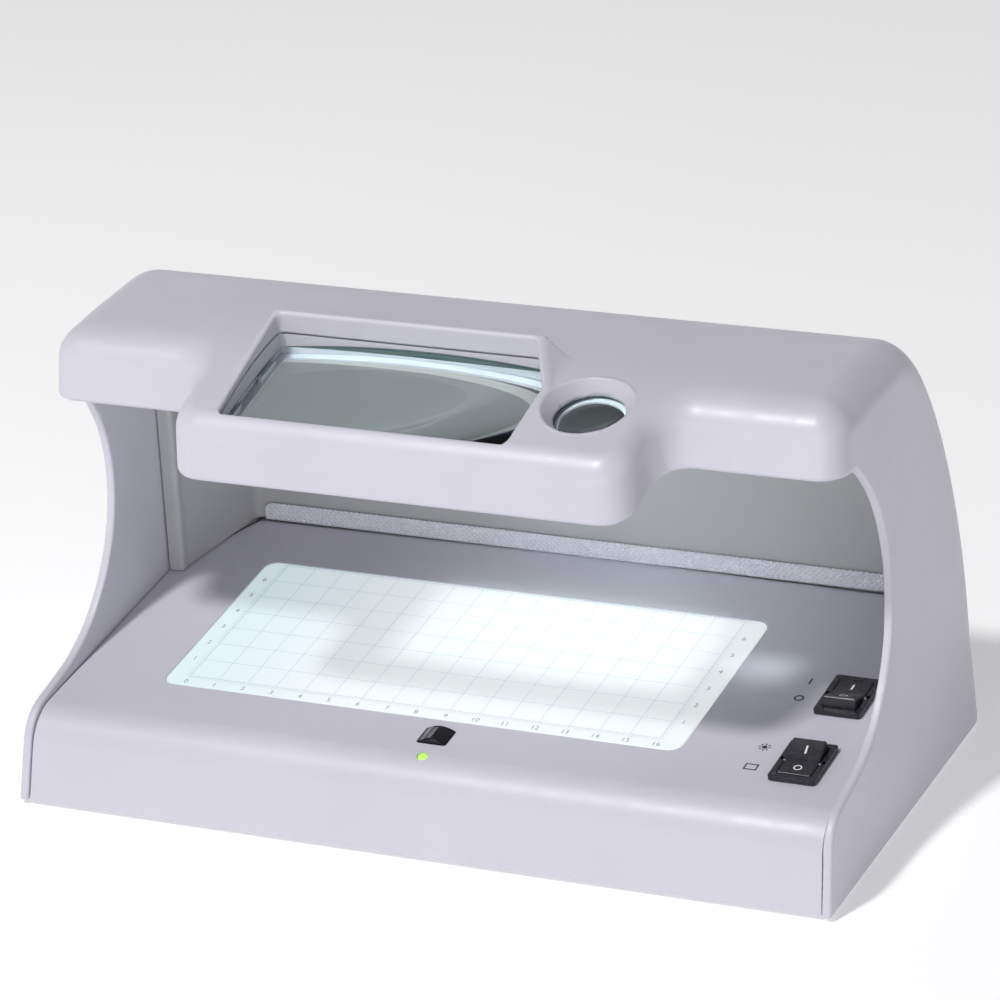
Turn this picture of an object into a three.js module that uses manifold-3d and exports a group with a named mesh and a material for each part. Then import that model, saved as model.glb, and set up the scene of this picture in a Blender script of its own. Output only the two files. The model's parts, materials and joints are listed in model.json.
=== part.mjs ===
// Desktop banknote detector: a hooded viewing bay with a lit ruler panel in its floor,
// a rectangular magnifier and a round magnifier in the hood, a magnetic head, an indicator,
// two rocker switches, and the lamps and boards that work them.
// Millimetres, +X to the user's right, +Y to the rear, +Z up, standing on its feet at z = 0.
import * as THREE from 'three';
import * as BufferGeometryUtils from 'three/addons/utils/BufferGeometryUtils.js';
import { ConvexGeometry } from 'three/addons/geometries/ConvexGeometry.js';
import Module from 'manifold-3d';

const wasm = await Module();
wasm.setup();

// ---- driving dimensions -------------------------------------------------------------------

const HALF_WIDTH = 136; // at the foot of the cheeks
const DRAFT = 0.039; // each side leans in by this much per millimetre of height
const FRONT = -72.1; // front edge of the cheeks at the bottom
const REAR = 72.1; // back of the shell at the bottom
const SKIRT = 1.5; // underside of the mouldings above the table
const HOOD_TOP = 144.1; // flat top of the hood
const WALL = 2.5; // hood and back
const CHEEK_WALL = 3;
const GAP = 0.4; // clearance between neighbouring mouldings
const FOOT_CORNER = 20; // rounding between the back and the sides, low down
const CROWN_CORNER = 11; // rounding between the top and the sides

const FLAT_END = -3.5; // the hood's flat top ends here and starts to fall to the front
const BROW_RADIUS = 140; // the fall starts as an arc of this radius
const BROW_SLOPE = THREE.MathUtils.degToRad(16);
const HOOD_FRONT = -61; // front of the hood's middle portion
const HOOD_FRONT_HALF = 77.6; // half width of that portion
const SHOULDER_FRONT = -31; // front of the hood on either side of it
const HOOD_LIP = 122.2; // underside of the shoulders
const LIP_KNEE = -32.3; // in front of this the underside falls to the front
const LIP_SLOPE = 0.266;

const BAY_CENTRE = [-52.7, 82.5]; // the cheeks' C-shaped front edge is an arc about this (Y, Z)
const BAY_RADIUS = 51.1;

const DECK_HEIGHT = 32.45; // top of the deck at y = 0
const DECK_TILT = THREE.MathUtils.degToRad(4.42);
const DECK_WALL = 3.2;
const TRAY_HALF = 132.6;

const PANEL = { left: -100.8, right: 74.6, front: -36, rear: 41, thick: 1.8 };
const LEDGE = 2; // width of the ledge that the panel rests on
const WINDOW = { left: -59.1, right: 35.4, front: -54.5, rear: -8.6 };
const LENS = { x: -11.5, y: -31.25, z: 132.4, tilt: THREE.MathUtils.degToRad(9.2) };
const LENS_HALF = [49, 24];
const LOUPE = { x: 53.3, y: -34.2 };
const SWITCH_X = 114.4;
const POWER_SWITCH_Y = 3.7;
const MODE_SWITCH_Y = -34.4;
const ROCK_ANGLE = THREE.MathUtils.degToRad(12);
const HEAD = { x: -1.2, y: -45.3 };
const LED = { x: -0.9, y: -56 };
const INLET = { x: 88, z: 18, half: 12, rise: 7 };
const COVER_RISE = 2.5; // the lamp cover sits this far above the hood's lip
const SHEET = 2; // thickness of the lamp cover
const PILOT_RADIUS = 1.6; // screw holes in the bosses
const CLEAR_RADIUS = 1.9; // screw holes in the covers
const SCREW_SPOTS = [[-118, -50], [118, -50], [-114, 50], [114, 50]];
const FOOT_SPOTS = [[-100, -56], [100, -56], [-98, 56], [98, 56]];
const HOOD_SCREWS = [[-112, -16, 141], [112, -16, 141], [-112, 34, 134.5], [112, 34, 134.5]]; // x, y, boss top
const BALLAST_STANDS = [[-15, 50, 7.2], [55, 60, 7.2]];
const AMPLIFIER_STANDS = [[-26, -52, 7.7], [26, -52, 7.7]];

const deckTop = (y) => DECK_HEIGHT + y * Math.tan(DECK_TILT);
const sideScale = (z) => 1 - (DRAFT * z) / HALF_WIDTH;

// ---- materials ----------------------------------------------------------------------------

const finish = (color, roughness, metalness = 0, extra = {}) =>
  new THREE.MeshStandardMaterial({ color, roughness, metalness, ...extra });

const shellPlastic = finish(0xd6d4de, 0.42);
const linerPlastic = finish(0xb9b8bd, 0.5);
const stripPlastic = finish(0xdcdce4, 0.4);
const opal = finish(0xf4fbff, 0.35);
const lensGlass = finish(0xbcd6d0, 0.05, 0, { transparent: true, opacity: 0.4 });
const blackPlastic = finish(0x101012, 0.45);
const chrome = finish(0x54565c, 0.18, 1);
const steel = finish(0xb0b2b6, 0.35, 1);
const brass = finish(0xc9a24a, 0.3, 1);
const greenGlow = finish(0xa8ff3c, 0.3);
const rubber = finish(0x1c1c1e, 0.85);
const whitePlastic = finish(0xe9e9e4, 0.5);
const uvGlass = finish(0x6f5fb0, 0.1);
const lampGlass = finish(0xfafaf5, 0.2);
const boardGreen = finish(0x1f5b34, 0.5);
const ferrite = finish(0x2a2a2c, 0.6);
const sleeve = finish(0x1d2c52, 0.4);

// ---- outlines and solids ------------------------------------------------------------------

const arc = (cx, cy, radius, from, to, steps) =>
  Array.from({ length: steps + 1 }, (_, i) => {
    const a = from + ((to - from) * i) / steps;
    return [cx + radius * Math.cos(a), cy + radius * Math.sin(a)];
  });

const bezier = (p0, p1, p2, p3, steps) =>
  new THREE.CubicBezierCurve(...[p0, p1, p2, p3].map((p) => new THREE.Vector2(...p)))
    .getPoints(steps)
    .map((p) => [p.x, p.y]);

// A polygon of [a, b, radius] corners, each rounded by its radius.
function rounded(corners, steps = 5) {
  const points = [];
  corners.forEach(([x, y, radius = 0], i) => {
    if (radius === 0) {
      points.push([x, y]);
      return;
    }
    const here = new THREE.Vector2(x, y);
    const before = corners[(i + corners.length - 1) % corners.length];
    const after = corners[(i + 1) % corners.length];
    const u = new THREE.Vector2(before[0], before[1]).sub(here).normalize();
    const v = new THREE.Vector2(after[0], after[1]).sub(here).normalize();
    const half = Math.acos(THREE.MathUtils.clamp(u.dot(v), -1, 1)) / 2;
    const centre = u.clone().add(v).normalize().multiplyScalar(radius / Math.sin(half)).add(here);
    const a = here.clone().addScaledVector(u, radius / Math.tan(half)).sub(centre);
    const b = here.clone().addScaledVector(v, radius / Math.tan(half)).sub(centre);
    const turn = Math.atan2(a.cross(b), a.dot(b));
    for (let k = 0; k <= steps; k += 1) {
      const p = a.clone().rotateAround(new THREE.Vector2(), (turn * k) / steps).add(centre);
      points.push([p.x, p.y]);
    }
  });
  return points;
}

const mirrored = (right) => [...right, ...right.map(([x, ...rest]) => [-x, ...rest]).reverse()];

const extrude = (outline, depth) =>
  new THREE.ExtrudeGeometry(new THREE.Shape(outline.map((p) => new THREE.Vector2(...p))), {
    depth,
    bevelEnabled: false,
  });

const ALONG_X = new THREE.Matrix4().makeBasis(
  new THREE.Vector3(0, 1, 0), new THREE.Vector3(0, 0, 1), new THREE.Vector3(1, 0, 0));
const ALONG_Y = new THREE.Matrix4().makeBasis(
  new THREE.Vector3(1, 0, 0), new THREE.Vector3(0, 0, 1), new THREE.Vector3(0, -1, 0));

const prismX = (outline, x0, x1) => extrude(outline, x1 - x0).applyMatrix4(ALONG_X).translate(x0, 0, 0);
const prismY = (outline, y0, y1) => extrude(outline, y1 - y0).applyMatrix4(ALONG_Y).translate(0, y1, 0);
const prismZ = (outline, z0, z1) => extrude(outline, z1 - z0).translate(0, 0, z0);

const box = (x0, x1, y0, y1, z0, z1) =>
  new THREE.BoxGeometry(x1 - x0, y1 - y0, z1 - z0).translate((x0 + x1) / 2, (y0 + y1) / 2, (z0 + z1) / 2);

const post = (radius, z0, z1, x = 0, y = 0, sides = 20) =>
  new THREE.CylinderGeometry(radius, radius, z1 - z0, sides)
    .rotateX(Math.PI / 2)
    .translate(x, y, (z0 + z1) / 2);

const rod = (radius, x0, x1, y, z, sides = 20) =>
  new THREE.CylinderGeometry(radius, radius, x1 - x0, sides)
    .rotateZ(Math.PI / 2)
    .translate((x0 + x1) / 2, y, z);

// A closed [radius, height] profile turned about Z, listed from the bottom up on its outside.
const turned = (profile, sides = 28) =>
  new THREE.LatheGeometry(profile.map((p) => new THREE.Vector2(...p)), sides).rotateX(Math.PI / 2);

// The mouldings' sides lean in towards the top.
function drafted(geometry) {
  const at = geometry.attributes.position;
  for (let i = 0; i < at.count; i += 1) at.setX(i, at.getX(i) * sideScale(at.getZ(i)));
  return geometry;
}

function solidOf(geometry) {
  const bare = geometry.clone();
  bare.deleteAttribute('normal');
  bare.deleteAttribute('uv');
  const merged = BufferGeometryUtils.mergeVertices(bare, 1e-4);
  return new wasm.Manifold(new wasm.Mesh({
    numProp: 3,
    vertProperties: Float32Array.from(merged.attributes.position.array),
    triVerts: Uint32Array.from(merged.index.array),
  }));
}

function geometryOf(solid) {
  const mesh = solid.getMesh();
  const geometry = new THREE.BufferGeometry();
  geometry.setAttribute('position', new THREE.BufferAttribute(mesh.vertProperties, 3));
  geometry.setIndex(new THREE.BufferAttribute(mesh.triVerts, 1));
  geometry.computeVertexNormals();
  return geometry;
}

const fold = (step) => (first, ...others) =>
  geometryOf(others.reduce((solid, other) => step(solid, solidOf(other)), solidOf(first)));
const cut = fold((solid, tool) => solid.subtract(tool));
const join = fold((solid, other) => solid.add(other));
const common = fold((solid, other) => solid.intersect(other));

const root = new THREE.Group();

function add(name, geometry, material, parent = root) {
  const mesh = new THREE.Mesh(geometry, material);
  mesh.name = name;
  parent.add(mesh);
  return mesh;
}

function place(x, y, z, tilt = 0, parent = root) {
  const group = new THREE.Group();
  group.position.set(x, y, z);
  group.rotation.x = tilt;
  parent.add(group);
  return group;
}

const onDeck = (x, y) => place(x, y, deckTop(y), DECK_TILT);

// ---- outlines that the mouldings share ------------------------------------------------------

// Side section (Y, Z) of the back, from the foot up to the hood's flat top, moved in by inset.
function backCurve(inset) {
  const top = HOOD_TOP - inset;
  const hip = REAR - 0.7 - inset;
  return [
    [REAR - inset, SKIRT],
    ...bezier([hip, 38], [hip - 1.2, 87.5], [46.6 - inset, top], [18.5, top], 10),
  ];
}

// The hood's top (Y, Z) from its flat part forward, down to the front face at y = front.
function browCurve(inset, front) {
  const top = HOOD_TOP - inset;
  const from = Math.PI / 2;
  const fall = arc(FLAT_END, top - BROW_RADIUS, BROW_RADIUS, from, from + BROW_SLOPE, 5);
  const [y, z] = fall[fall.length - 1];
  return [...fall, [front, z - (y - front) * Math.tan(BROW_SLOPE)]];
}

// Plan (X, Y) of the hood's front, with its middle portion standing forward between two shoulders.
const hoodPlan = (inset) => rounded(mirrored([
  [HOOD_FRONT_HALF - inset, HOOD_FRONT + inset, 10.4 - inset],
  [HOOD_FRONT_HALF - inset, SHOULDER_FRONT + inset, 12 + inset],
  [HALF_WIDTH - inset, SHOULDER_FRONT + inset, 9.8 - inset],
  [HALF_WIDTH - inset, 90],
]));

// The outer form of the shell moved in by inset: convex, open in front and below, with the
// side edges rounded by less and less from the foot to the crown.
function form(inset) {
  const half = HALF_WIDTH - inset;
  const outline = [[REAR - inset, -12], ...backCurve(inset), ...browCurve(inset, -80)];
  const points = [];
  outline.forEach(([y, z], i) => {
    const [y0, z0] = outline[Math.max(i - 1, 0)];
    const [y1, z1] = outline[Math.min(i + 1, outline.length - 1)];
    const normal = new THREE.Vector2(z1 - z0, y0 - y1).normalize();
    const height = THREE.MathUtils.clamp(z, 30, 130);
    const radius = THREE.MathUtils.mapLinear(height, 30, 130, FOOT_CORNER, CROWN_CORNER) - inset;
    arc(half - radius, 0, radius, Math.PI / 2, 0, 5).forEach(([x, up]) => {
      const sink = radius - up;
      const at = [y - normal.x * sink, z - normal.y * sink];
      points.push(new THREE.Vector3(x, ...at), new THREE.Vector3(-x, ...at));
    });
  });
  [-half, half].forEach((x) => points.push(new THREE.Vector3(x, -95, -12), new THREE.Vector3(x, -95, 100)));
  return new ConvexGeometry(points);
}

// The space inside the hood's skin and the back, moved in by inset and open below.
const crownSpace = (inset) => common(form(inset), prismZ(hoodPlan(inset), -12, 160));

// Front and top of the base (Y, Z), moved in by inset, up to the start of the flat deck.
const baseFront = (inset) => rounded([
  [-71.3 + inset, SKIRT],
  [-63.6 + inset * 0.74, deckTop(-63.6) - inset, 14 - inset],
  [-40, deckTop(-40) - inset],
]);

// ---- upper shell: hood, back and both cheeks in one moulding ---------------------------------

function cheekEdge() {
  const lift = 0.205;
  const top = Math.asin((HOOD_LIP - BAY_CENTRE[1]) / BAY_RADIUS);
  return [
    ...rounded([[FRONT, SKIRT], [-64.3, 27.9, 14], [-52, 30.43]]),
    ...arc(...BAY_CENTRE, BAY_RADIUS, lift - Math.PI / 2, top, 12),
  ];
}

// The window's rim carries the brow's slope on past the hood's flat top as a shallow wedge.
function windowRim() {
  const [foot, footHeight] = [-42.1, 138.7]; // where it leaves the brow
  const onSlope = (x, y) => [x, y, footHeight + (y - foot) * Math.tan(BROW_SLOPE)];
  const crest = WINDOW.rear + 1.9;
  const left = WINDOW.left - 3.1;
  const right = WINDOW.right + 2.8;
  const [low, high] = [137, 142.2]; // its underside, inside the hood's skin
  const point = [40.8, -12, high]; // foot of the pyramid at its right end
  const corners = [
    onSlope(left, foot), onSlope(right, foot), onSlope(38.8, -28.6), onSlope(28.3, crest), onSlope(left, crest),
    [left, foot, low], [right, foot, low], point, [29, crest, high], [left, crest, high],
  ];
  return new ConvexGeometry(corners.map((p) => new THREE.Vector3(...p)));
}

const windowPlan = (grow) => [
  [WINDOW.left - grow, WINDOW.front - grow],
  [WINDOW.right + grow, WINDOW.front - grow],
  [36.8 + grow, -29],
  [26.5 + grow, WINDOW.rear + grow],
  [-60.4 - grow, WINDOW.rear + grow],
];

const loupeTilt = Math.asin((FLAT_END - LOUPE.y) / BROW_RADIUS);
const loupeHeight = HOOD_TOP - BROW_RADIUS * (1 - Math.cos(loupeTilt));
const atLoupe = (geometry) => geometry.rotateX(loupeTilt).translate(LOUPE.x, LOUPE.y, loupeHeight);

function upperShell() {
  const front = HOOD_FRONT - 1;
  const lipFront = HOOD_LIP + (front - LIP_KNEE) * LIP_SLOPE;
  const hoodSlab = [
    ...backCurve(0), ...browCurve(0, front),
    [front, lipFront], [LIP_KNEE, HOOD_LIP], [30, HOOD_LIP], [52, SKIRT],
  ];
  const outside = form(0);
  const crown = common(outside, prismX(hoodSlab, -140, 140), prismZ(hoodPlan(0), -5, 160));
  const cheekSection = [...cheekEdge(), [-18, 128], [80, 128], [80, SKIRT]];
  const cheeks = cut(
    common(outside, prismX(cheekSection, -140, 140)),
    box(CHEEK_WALL - HALF_WIDTH, HALF_WIDTH - CHEEK_WALL, -90, 90, -10, 160));
  const skin = cut(crown, crownSpace(WALL));
  const moulding = drafted(join(skin, cheeks));
  const boss = atLoupe(post(13, -9.5, -1.5, 0, 0, 28));
  // the round lens's seat opens upwards in a countersink
  const bore = atLoupe(turned([[0, -11], [11.9, -11], [11.9, -5.4], [10.9, -5.4], [10.9, -4.2], [15.4, 2], [0, 2]]));
  const inletSeat = box(
    INLET.x - INLET.half - GAP, INLET.x + INLET.half + GAP, REAR - 20, REAR + 2,
    INLET.z - INLET.rise - GAP, INLET.z + INLET.rise + GAP);
  const bossFoot = HOOD_LIP + COVER_RISE + SHEET + GAP;
  const bosses = HOOD_SCREWS.map(([x, y, top]) => post(3.6, bossFoot, top, x, y, 16));
  const pilots = HOOD_SCREWS.map(([x, y]) => post(PILOT_RADIUS, 120, 131, x, y, 12));
  return cut(
    join(moulding, windowRim(), boss, ...bosses),
    prismZ(windowPlan(0), 120, 160), bore, inletSeat, ...pilots);
}

add('upper_shell', upperShell(), shellPlastic);

// ---- base tray, bottom cover, liner and strip ------------------------------------------------

const SEAT = 2.1; // depth of the panel's recess
const tilted = (geometry) => geometry.rotateX(DECK_TILT).translate(0, 0, DECK_HEIGHT);

function baseTray() {
  const rear = REAR - WALL - GAP - 0.8;
  const outline = [
    ...baseFront(0), [rear, deckTop(rear)], [rear, deckTop(rear) - DECK_WALL],
    ...baseFront(DECK_WALL).reverse(),
  ];
  const plan = rounded(mirrored([[TRAY_HALF, -80], [TRAY_HALF, rear, FOOT_CORNER - WALL]]));
  const shell = drafted(common(prismX(outline, -TRAY_HALF, TRAY_HALF), prismZ(plan, 0, 60)));
  const bosses = SCREW_SPOTS.map(([x, y]) => post(4, 5, deckTop(y) - 1, x, y, 16));
  const pilots = SCREW_SPOTS.map(([x, y]) => post(PILOT_RADIUS, 4, 16, x, y, 12));
  const { left, right, front, rear: back } = PANEL;
  const slot = 0.3;
  const recess = tilted(box(left - slot, right + slot, front - slot, back + slot, -SEAT, 3));
  const light = box(left + LEDGE, right - LEDGE, front + LEDGE + 1, back - LEDGE, 10, 60);
  const switchHoles = [POWER_SWITCH_Y, MODE_SWITCH_Y].map((y) =>
    tilted(box(SWITCH_X - 6.8, SWITCH_X + 6.8, y - 9.8, y + 9.8, -9, 9)));
  const headHole = box(HEAD.x - 5, HEAD.x + 5, HEAD.y - 4.45, HEAD.y + 4.45, 10, 60);
  const ledHole = post(1.9, 10, 60, LED.x, LED.y, 16);
  return cut(join(shell, ...bosses), recess, light, ...switchHoles, headHole, ledHole, ...pilots);
}

add('base_tray', baseTray(), shellPlastic);

const COVER_BOTTOM = 2.3;
const COVER_TOP = 4.4;

function bottomCover() {
  const rear = REAR - WALL - GAP;
  const half = TRAY_HALF - 0.6;
  const plan = rounded(mirrored([[half, -66.8, 4], [half, rear, FOOT_CORNER - WALL]]));
  const holes = SCREW_SPOTS.map(([x, y]) => post(CLEAR_RADIUS, 0, 6, x, y, 16));
  const vents = Array.from({ length: 6 }, (_, i) => box(-82 + i * 12, -76 + i * 12, 46, 62, 0, 6));
  const stands = [...BALLAST_STANDS, ...AMPLIFIER_STANDS].map(([x, y, top]) => post(3, 4, top, x, y, 12));
  return cut(join(prismZ(plan, COVER_BOTTOM, COVER_TOP), ...stands), ...holes, ...vents);
}

add('bottom_cover', bottomCover(), shellPlastic);

// The liner closes the bay's rear: two front columns, two slanting returns and the rear wall.
const LINER = 1.2;

function linerSpace(inset) {
  const column = 132.5 - inset * 4.2;
  const front = inset > 0 ? 8.5 : 28.5;
  const plan = mirrored([[column, front], [column, 31.2 + inset], [119.6 - inset, 72 - inset]]);
  return common(form(WALL + GAP + inset), prismZ(plan, 0, 160));
}

function rearLiner() {
  const top = HOOD_LIP + 1.8;
  const lift = deckTop(0) + GAP;
  const slope = Math.tan(DECK_TILT);
  const slab = prismX([[-40, lift - 40 * slope], [80, lift + 80 * slope], [80, top], [-40, top]], -140, 140);
  return drafted(common(cut(linerSpace(0), linerSpace(LINER)), slab));
}

add('rear_liner', rearLiner(), linerPlastic);

const STRIP = { half: 114.5, face: 65.55, thick: 1, tall: 5.9 };
const stripFoot = deckTop(STRIP.face) + 0.4;
const stripOutline = rounded(mirrored([
  [STRIP.half, stripFoot],
  [STRIP.half, stripFoot + STRIP.tall, 3],
]), 4);
add('rear_strip', prismY(stripOutline, STRIP.face, STRIP.face + STRIP.thick), stripPlastic);

// ---- hood interior: lamp cover, ultraviolet lamp, magnifiers -----------------------------------

const TUBE = { radius: 7.6, y: 16, z: 131, half: 102, slot: 103 };

function lampCover() {
  const front = HOOD_FRONT;
  const low = HOOD_LIP + COVER_RISE;
  const lowFront = low + (front - LIP_KNEE) * LIP_SLOPE;
  const slab = [
    [front, lowFront], [LIP_KNEE, low], [60, low],
    [60, low + SHEET], [LIP_KNEE, low + SHEET], [front, lowFront + SHEET],
  ];
  const plate = drafted(common(prismX(slab, -140, 140), crownSpace(CHEEK_WALL + GAP)));
  const lensHole = box(LENS.x - 52.4, LENS.x + 52.4, -54, -3.5, 100, 140);
  const loupeHole = box(LOUPE.x - 10, LOUPE.x + 11, LOUPE.y - 13, LOUPE.y + 9, 100, 140);
  const lampSlot = box(-TUBE.slot, TUBE.slot, TUBE.y - 9, TUBE.y + 9, 100, 140);
  const screwHoles = HOOD_SCREWS.map(([x, y]) => post(CLEAR_RADIUS, 110, 140, x, y, 16));
  return cut(plate, lensHole, loupeHole, lampSlot, ...screwHoles);
}

add('lamp_cover', lampCover(), whitePlastic);

const PIN_ROWS = [-2.4, 2.4]; // heights of a tube lamp's two pins above and below its axis
const PIN_RADIUS = 1.1;
const PIN_LENGTH = 6;
const CAP_LENGTH = 6;
const towards = (side, from, to) => [side * from, side * to].sort((a, b) => a - b);

// A tube lamp lies along X: glass with two metal caps and their pins, in one piece.
function tubeLamp(half, radius) {
  const parts = [rod(radius, 5 - half, half - 5, 0, 0, 24)];
  [-1, 1].forEach((side) => {
    parts.push(rod(radius + 0.4, ...towards(side, half - CAP_LENGTH, half), 0, 0, 24));
    PIN_ROWS.forEach((z) => parts.push(rod(PIN_RADIUS, ...towards(side, half - 1, half + PIN_LENGTH), 0, z, 8)));
  });
  return join(...parts);
}

// A lamp holder grips the pins at one end: side is -1 for the left end and 1 for the right.
function lampHolder(half, side, below, above) {
  const block = box(...towards(side, half + GAP, half + GAP + 8), -7, 7, -below, above);
  const socket = towards(side, half - 1, half + PIN_LENGTH + 0.8);
  return cut(block, ...PIN_ROWS.map((z) => rod(PIN_RADIUS + GAP, ...socket, 0, z, 8)));
}

const uvLamp = place(0, TUBE.y, TUBE.z);
add('uv_tube', tubeLamp(TUBE.half, TUBE.radius), uvGlass, uvLamp);
const uvSeat = TUBE.z - (HOOD_LIP + COVER_RISE + SHEET) - 0.3;
add('uv_tube_holder_left', lampHolder(TUBE.half, -1, uvSeat, 6), whitePlastic, uvLamp);
add('uv_tube_holder_right', lampHolder(TUBE.half, 1, uvSeat, 6), whitePlastic, uvLamp);

function uvReflector() {
  const arch = (grow, foot) => mirrored([[9.4 + grow, foot], [9.4 + grow, 5.2], [5.4, 8.6 + grow]]);
  return cut(prismX(arch(0.6, -2), -96, 96), prismX(arch(0, -4), -97, 97));
}

add('uv_reflector', uvReflector(), steel, uvLamp);

// ---- magnifiers ------------------------------------------------------------------------------

const LENS_SPHERE = 380; // each face of the rectangular lens is part of a sphere
const LENS_RISE = 4.25; // half the thickness at its middle
const lensFace = (x, y) => LENS_RISE - LENS_SPHERE + Math.sqrt(LENS_SPHERE ** 2 - x * x - y * y);

// The lens as a convex body grown by grow; with a floor it is the pocket that it drops into.
function lensBody(grow, floor = null) {
  const columns = 14;
  const rows = 6;
  const points = [];
  for (let i = 0; i <= columns; i += 1) {
    for (let j = 0; j <= rows; j += 1) {
      const x = (LENS_HALF[0] + grow) * ((2 * i) / columns - 1);
      const y = (LENS_HALF[1] + grow) * ((2 * j) / rows - 1);
      const z = lensFace(x, y) + grow;
      points.push(new THREE.Vector3(x, y, z), new THREE.Vector3(x, y, floor ?? -z));
    }
  }
  return new ConvexGeometry(points);
}

const lensPlace = place(LENS.x, LENS.y, LENS.z, LENS.tilt);
add('magnifier_lens', lensBody(0), lensGlass, lensPlace);

const SKIRT_HALF = 51.3; // the frame and its retainer share this outline about the lens
const SKIRT_FRONT = -26.2;
const SKIRT_REAR = 26.4;

// The frame is a skirt about the lens with a collar that rises to the window's edge.
function lensFrame() {
  const toLens = (geometry) => geometry.translate(-LENS.x, -LENS.y, -LENS.z).rotateX(-LENS.tilt);
  const skirt = box(-SKIRT_HALF, SKIRT_HALF, SKIRT_FRONT, SKIRT_REAR, -5, 2.7);
  const underHood = [[-70, 126], [10, 126], ...browCurve(WALL + GAP, -70)];
  const collar = toLens(common(prismX(underHood, -80, 60), prismZ(windowPlan(2.4), 120, 160)));
  const above = box(-60, 60, -40, 40, 0, 30);
  const sight = toLens(prismZ(windowPlan(0.2), 120, 160));
  const shaft = common(sight, box(-60, 60, -40, 40, -1, 40));
  return cut(join(skirt, common(collar, above)), shaft, lensBody(0.35, -8));
}

add('lens_frame', lensFrame(), shellPlastic, lensPlace);

// The retainer closes the frame from below, and four pads at its ends press the lens up.
function lensRetainer() {
  const plate = box(-SKIRT_HALF, SKIRT_HALF, SKIRT_FRONT, SKIRT_REAR, -6.6, -5.3);
  const pads = [-48.2, 48.2].flatMap((x) => [-12, 12].map((y) => box(x - 0.7, x + 0.7, y - 5, y + 5, -5.4, -1.7)));
  return cut(join(plate, ...pads), box(-46.5, 46.5, -22, 22, -9, 0));
}

add('lens_retainer', lensRetainer(), shellPlastic, lensPlace);

const loupeLens = [
  [0, -8.2], [4, -8.1], [8, -7.75], [11.5, -7.3], [11.5, -5.8], [8, -5.35], [4, -5], [0, -4.9]];
const loupeRing = [[9.8, -9.4], [11.5, -9.4], [11.5, -7.9], [9.8, -7.9], [9.8, -9.4]];
add('round_lens', atLoupe(turned(loupeLens)), lensGlass);
add('round_lens_ring', atLoupe(turned(loupeRing)), shellPlastic);

// ---- lit panel and its lamp ---------------------------------------------------------------------

const panelLength = (PANEL.rear - PANEL.front) / Math.cos(DECK_TILT);
const panelPlace = onDeck((PANEL.left + PANEL.right) / 2, (PANEL.front + PANEL.rear) / 2);
const panelOutline = rounded(mirrored([
  [(PANEL.right - PANEL.left) / 2, -panelLength / 2 + 0.2, 4],
  [(PANEL.right - PANEL.left) / 2, panelLength / 2 - 0.2, 4],
]), 4);
add('viewing_panel', prismZ(panelOutline, -SEAT + 0.3, -SEAT + 0.3 + PANEL.thick), opal, panelPlace);

const TROUGH = { left: -104, right: 78, front: -36, rear: 42, floor: 5.2, wall: 1.6 };

function lightTray() {
  const { left, right, front, rear, floor, wall } = TROUGH;
  const rim = (y) => deckTop(y) - DECK_WALL - GAP;
  const outside = prismX([[front, floor], [rear, floor], [rear, rim(rear)], [front, rim(front)]], left, right);
  return cut(outside, box(left + wall, right - wall, front + wall, rear - wall, floor + wall, 60));
}

add('light_tray', lightTray(), whitePlastic);

const backLamp = place((TROUGH.left + TROUGH.right) / 2, 3, 17);
const BACK_HALF = 68;
const backSeat = 17 - TROUGH.floor - TROUGH.wall - 0.3;
add('white_tube', tubeLamp(BACK_HALF, 7), lampGlass, backLamp);
add('white_tube_holder_left', lampHolder(BACK_HALF, -1, backSeat, 7), whitePlastic, backLamp);
add('white_tube_holder_right', lampHolder(BACK_HALF, 1, backSeat, 7), whitePlastic, backLamp);

// ---- rocker switches -------------------------------------------------------------------------------

const BEZEL = { half: [7.5, 10.5], low: 0.3, top: 1.7 };
const PIVOT_DEPTH = 1; // below the bezel's top
const ROCKER_REACH = 8.08; // the rocker's ends are arcs about its pivot

function switchHousing() {
  const [w, d] = BEZEL.half;
  const bezel = box(-w, w, -d, d, BEZEL.low, BEZEL.top);
  const body = box(-6.4, 6.4, -9.4, 9.4, -12.7, 1);
  const pocket = box(-5.6, 5.6, -8.35, 8.35, BEZEL.top - 6.5, 5);
  const pivots = rod(1.35, -7, 7, 0, BEZEL.top - PIVOT_DEPTH, 16);
  const slots = [-5, 5].map((y) => box(-2.8, 2.8, y - 0.8, y + 0.8, -14, -10.5));
  return cut(join(bezel, body), pocket, pivots, ...slots);
}

function rocker() {
  const tip = 0.37;
  const right = [
    [0, PIVOT_DEPTH + 0.33],
    ...arc(0, 0, ROCKER_REACH, tip, tip - 0.62, 4),
    [6.5, -3.5],
  ];
  const left = right.slice(1).map(([y, z]) => [-y, z]).reverse();
  return join(prismX([...left, ...right], -5.3, 5.3), rod(1.2, -6.2, 6.2, 0, 0, 16));
}

function rockerSwitch(name, y, rest) {
  const seat = onDeck(SWITCH_X, y);
  add(`${name}_switch_housing`, switchHousing(), blackPlastic, seat);
  const pivot = place(0, 0, BEZEL.top - PIVOT_DEPTH, rest, seat);
  add(`${name}_rocker`, rocker(), blackPlastic, pivot);
  [-5, 5].forEach((at, i) => {
    add(`${name}_terminal_${i + 1}`, box(-2.4, 2.4, at - 0.4, at + 0.4, -20, -10.9), brass, seat);
  });
}

rockerSwitch('power', POWER_SWITCH_Y, -ROCK_ANGLE);
rockerSwitch('mode', MODE_SWITCH_Y, ROCK_ANGLE);

// ---- magnetic head and indicator --------------------------------------------------------------------

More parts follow.
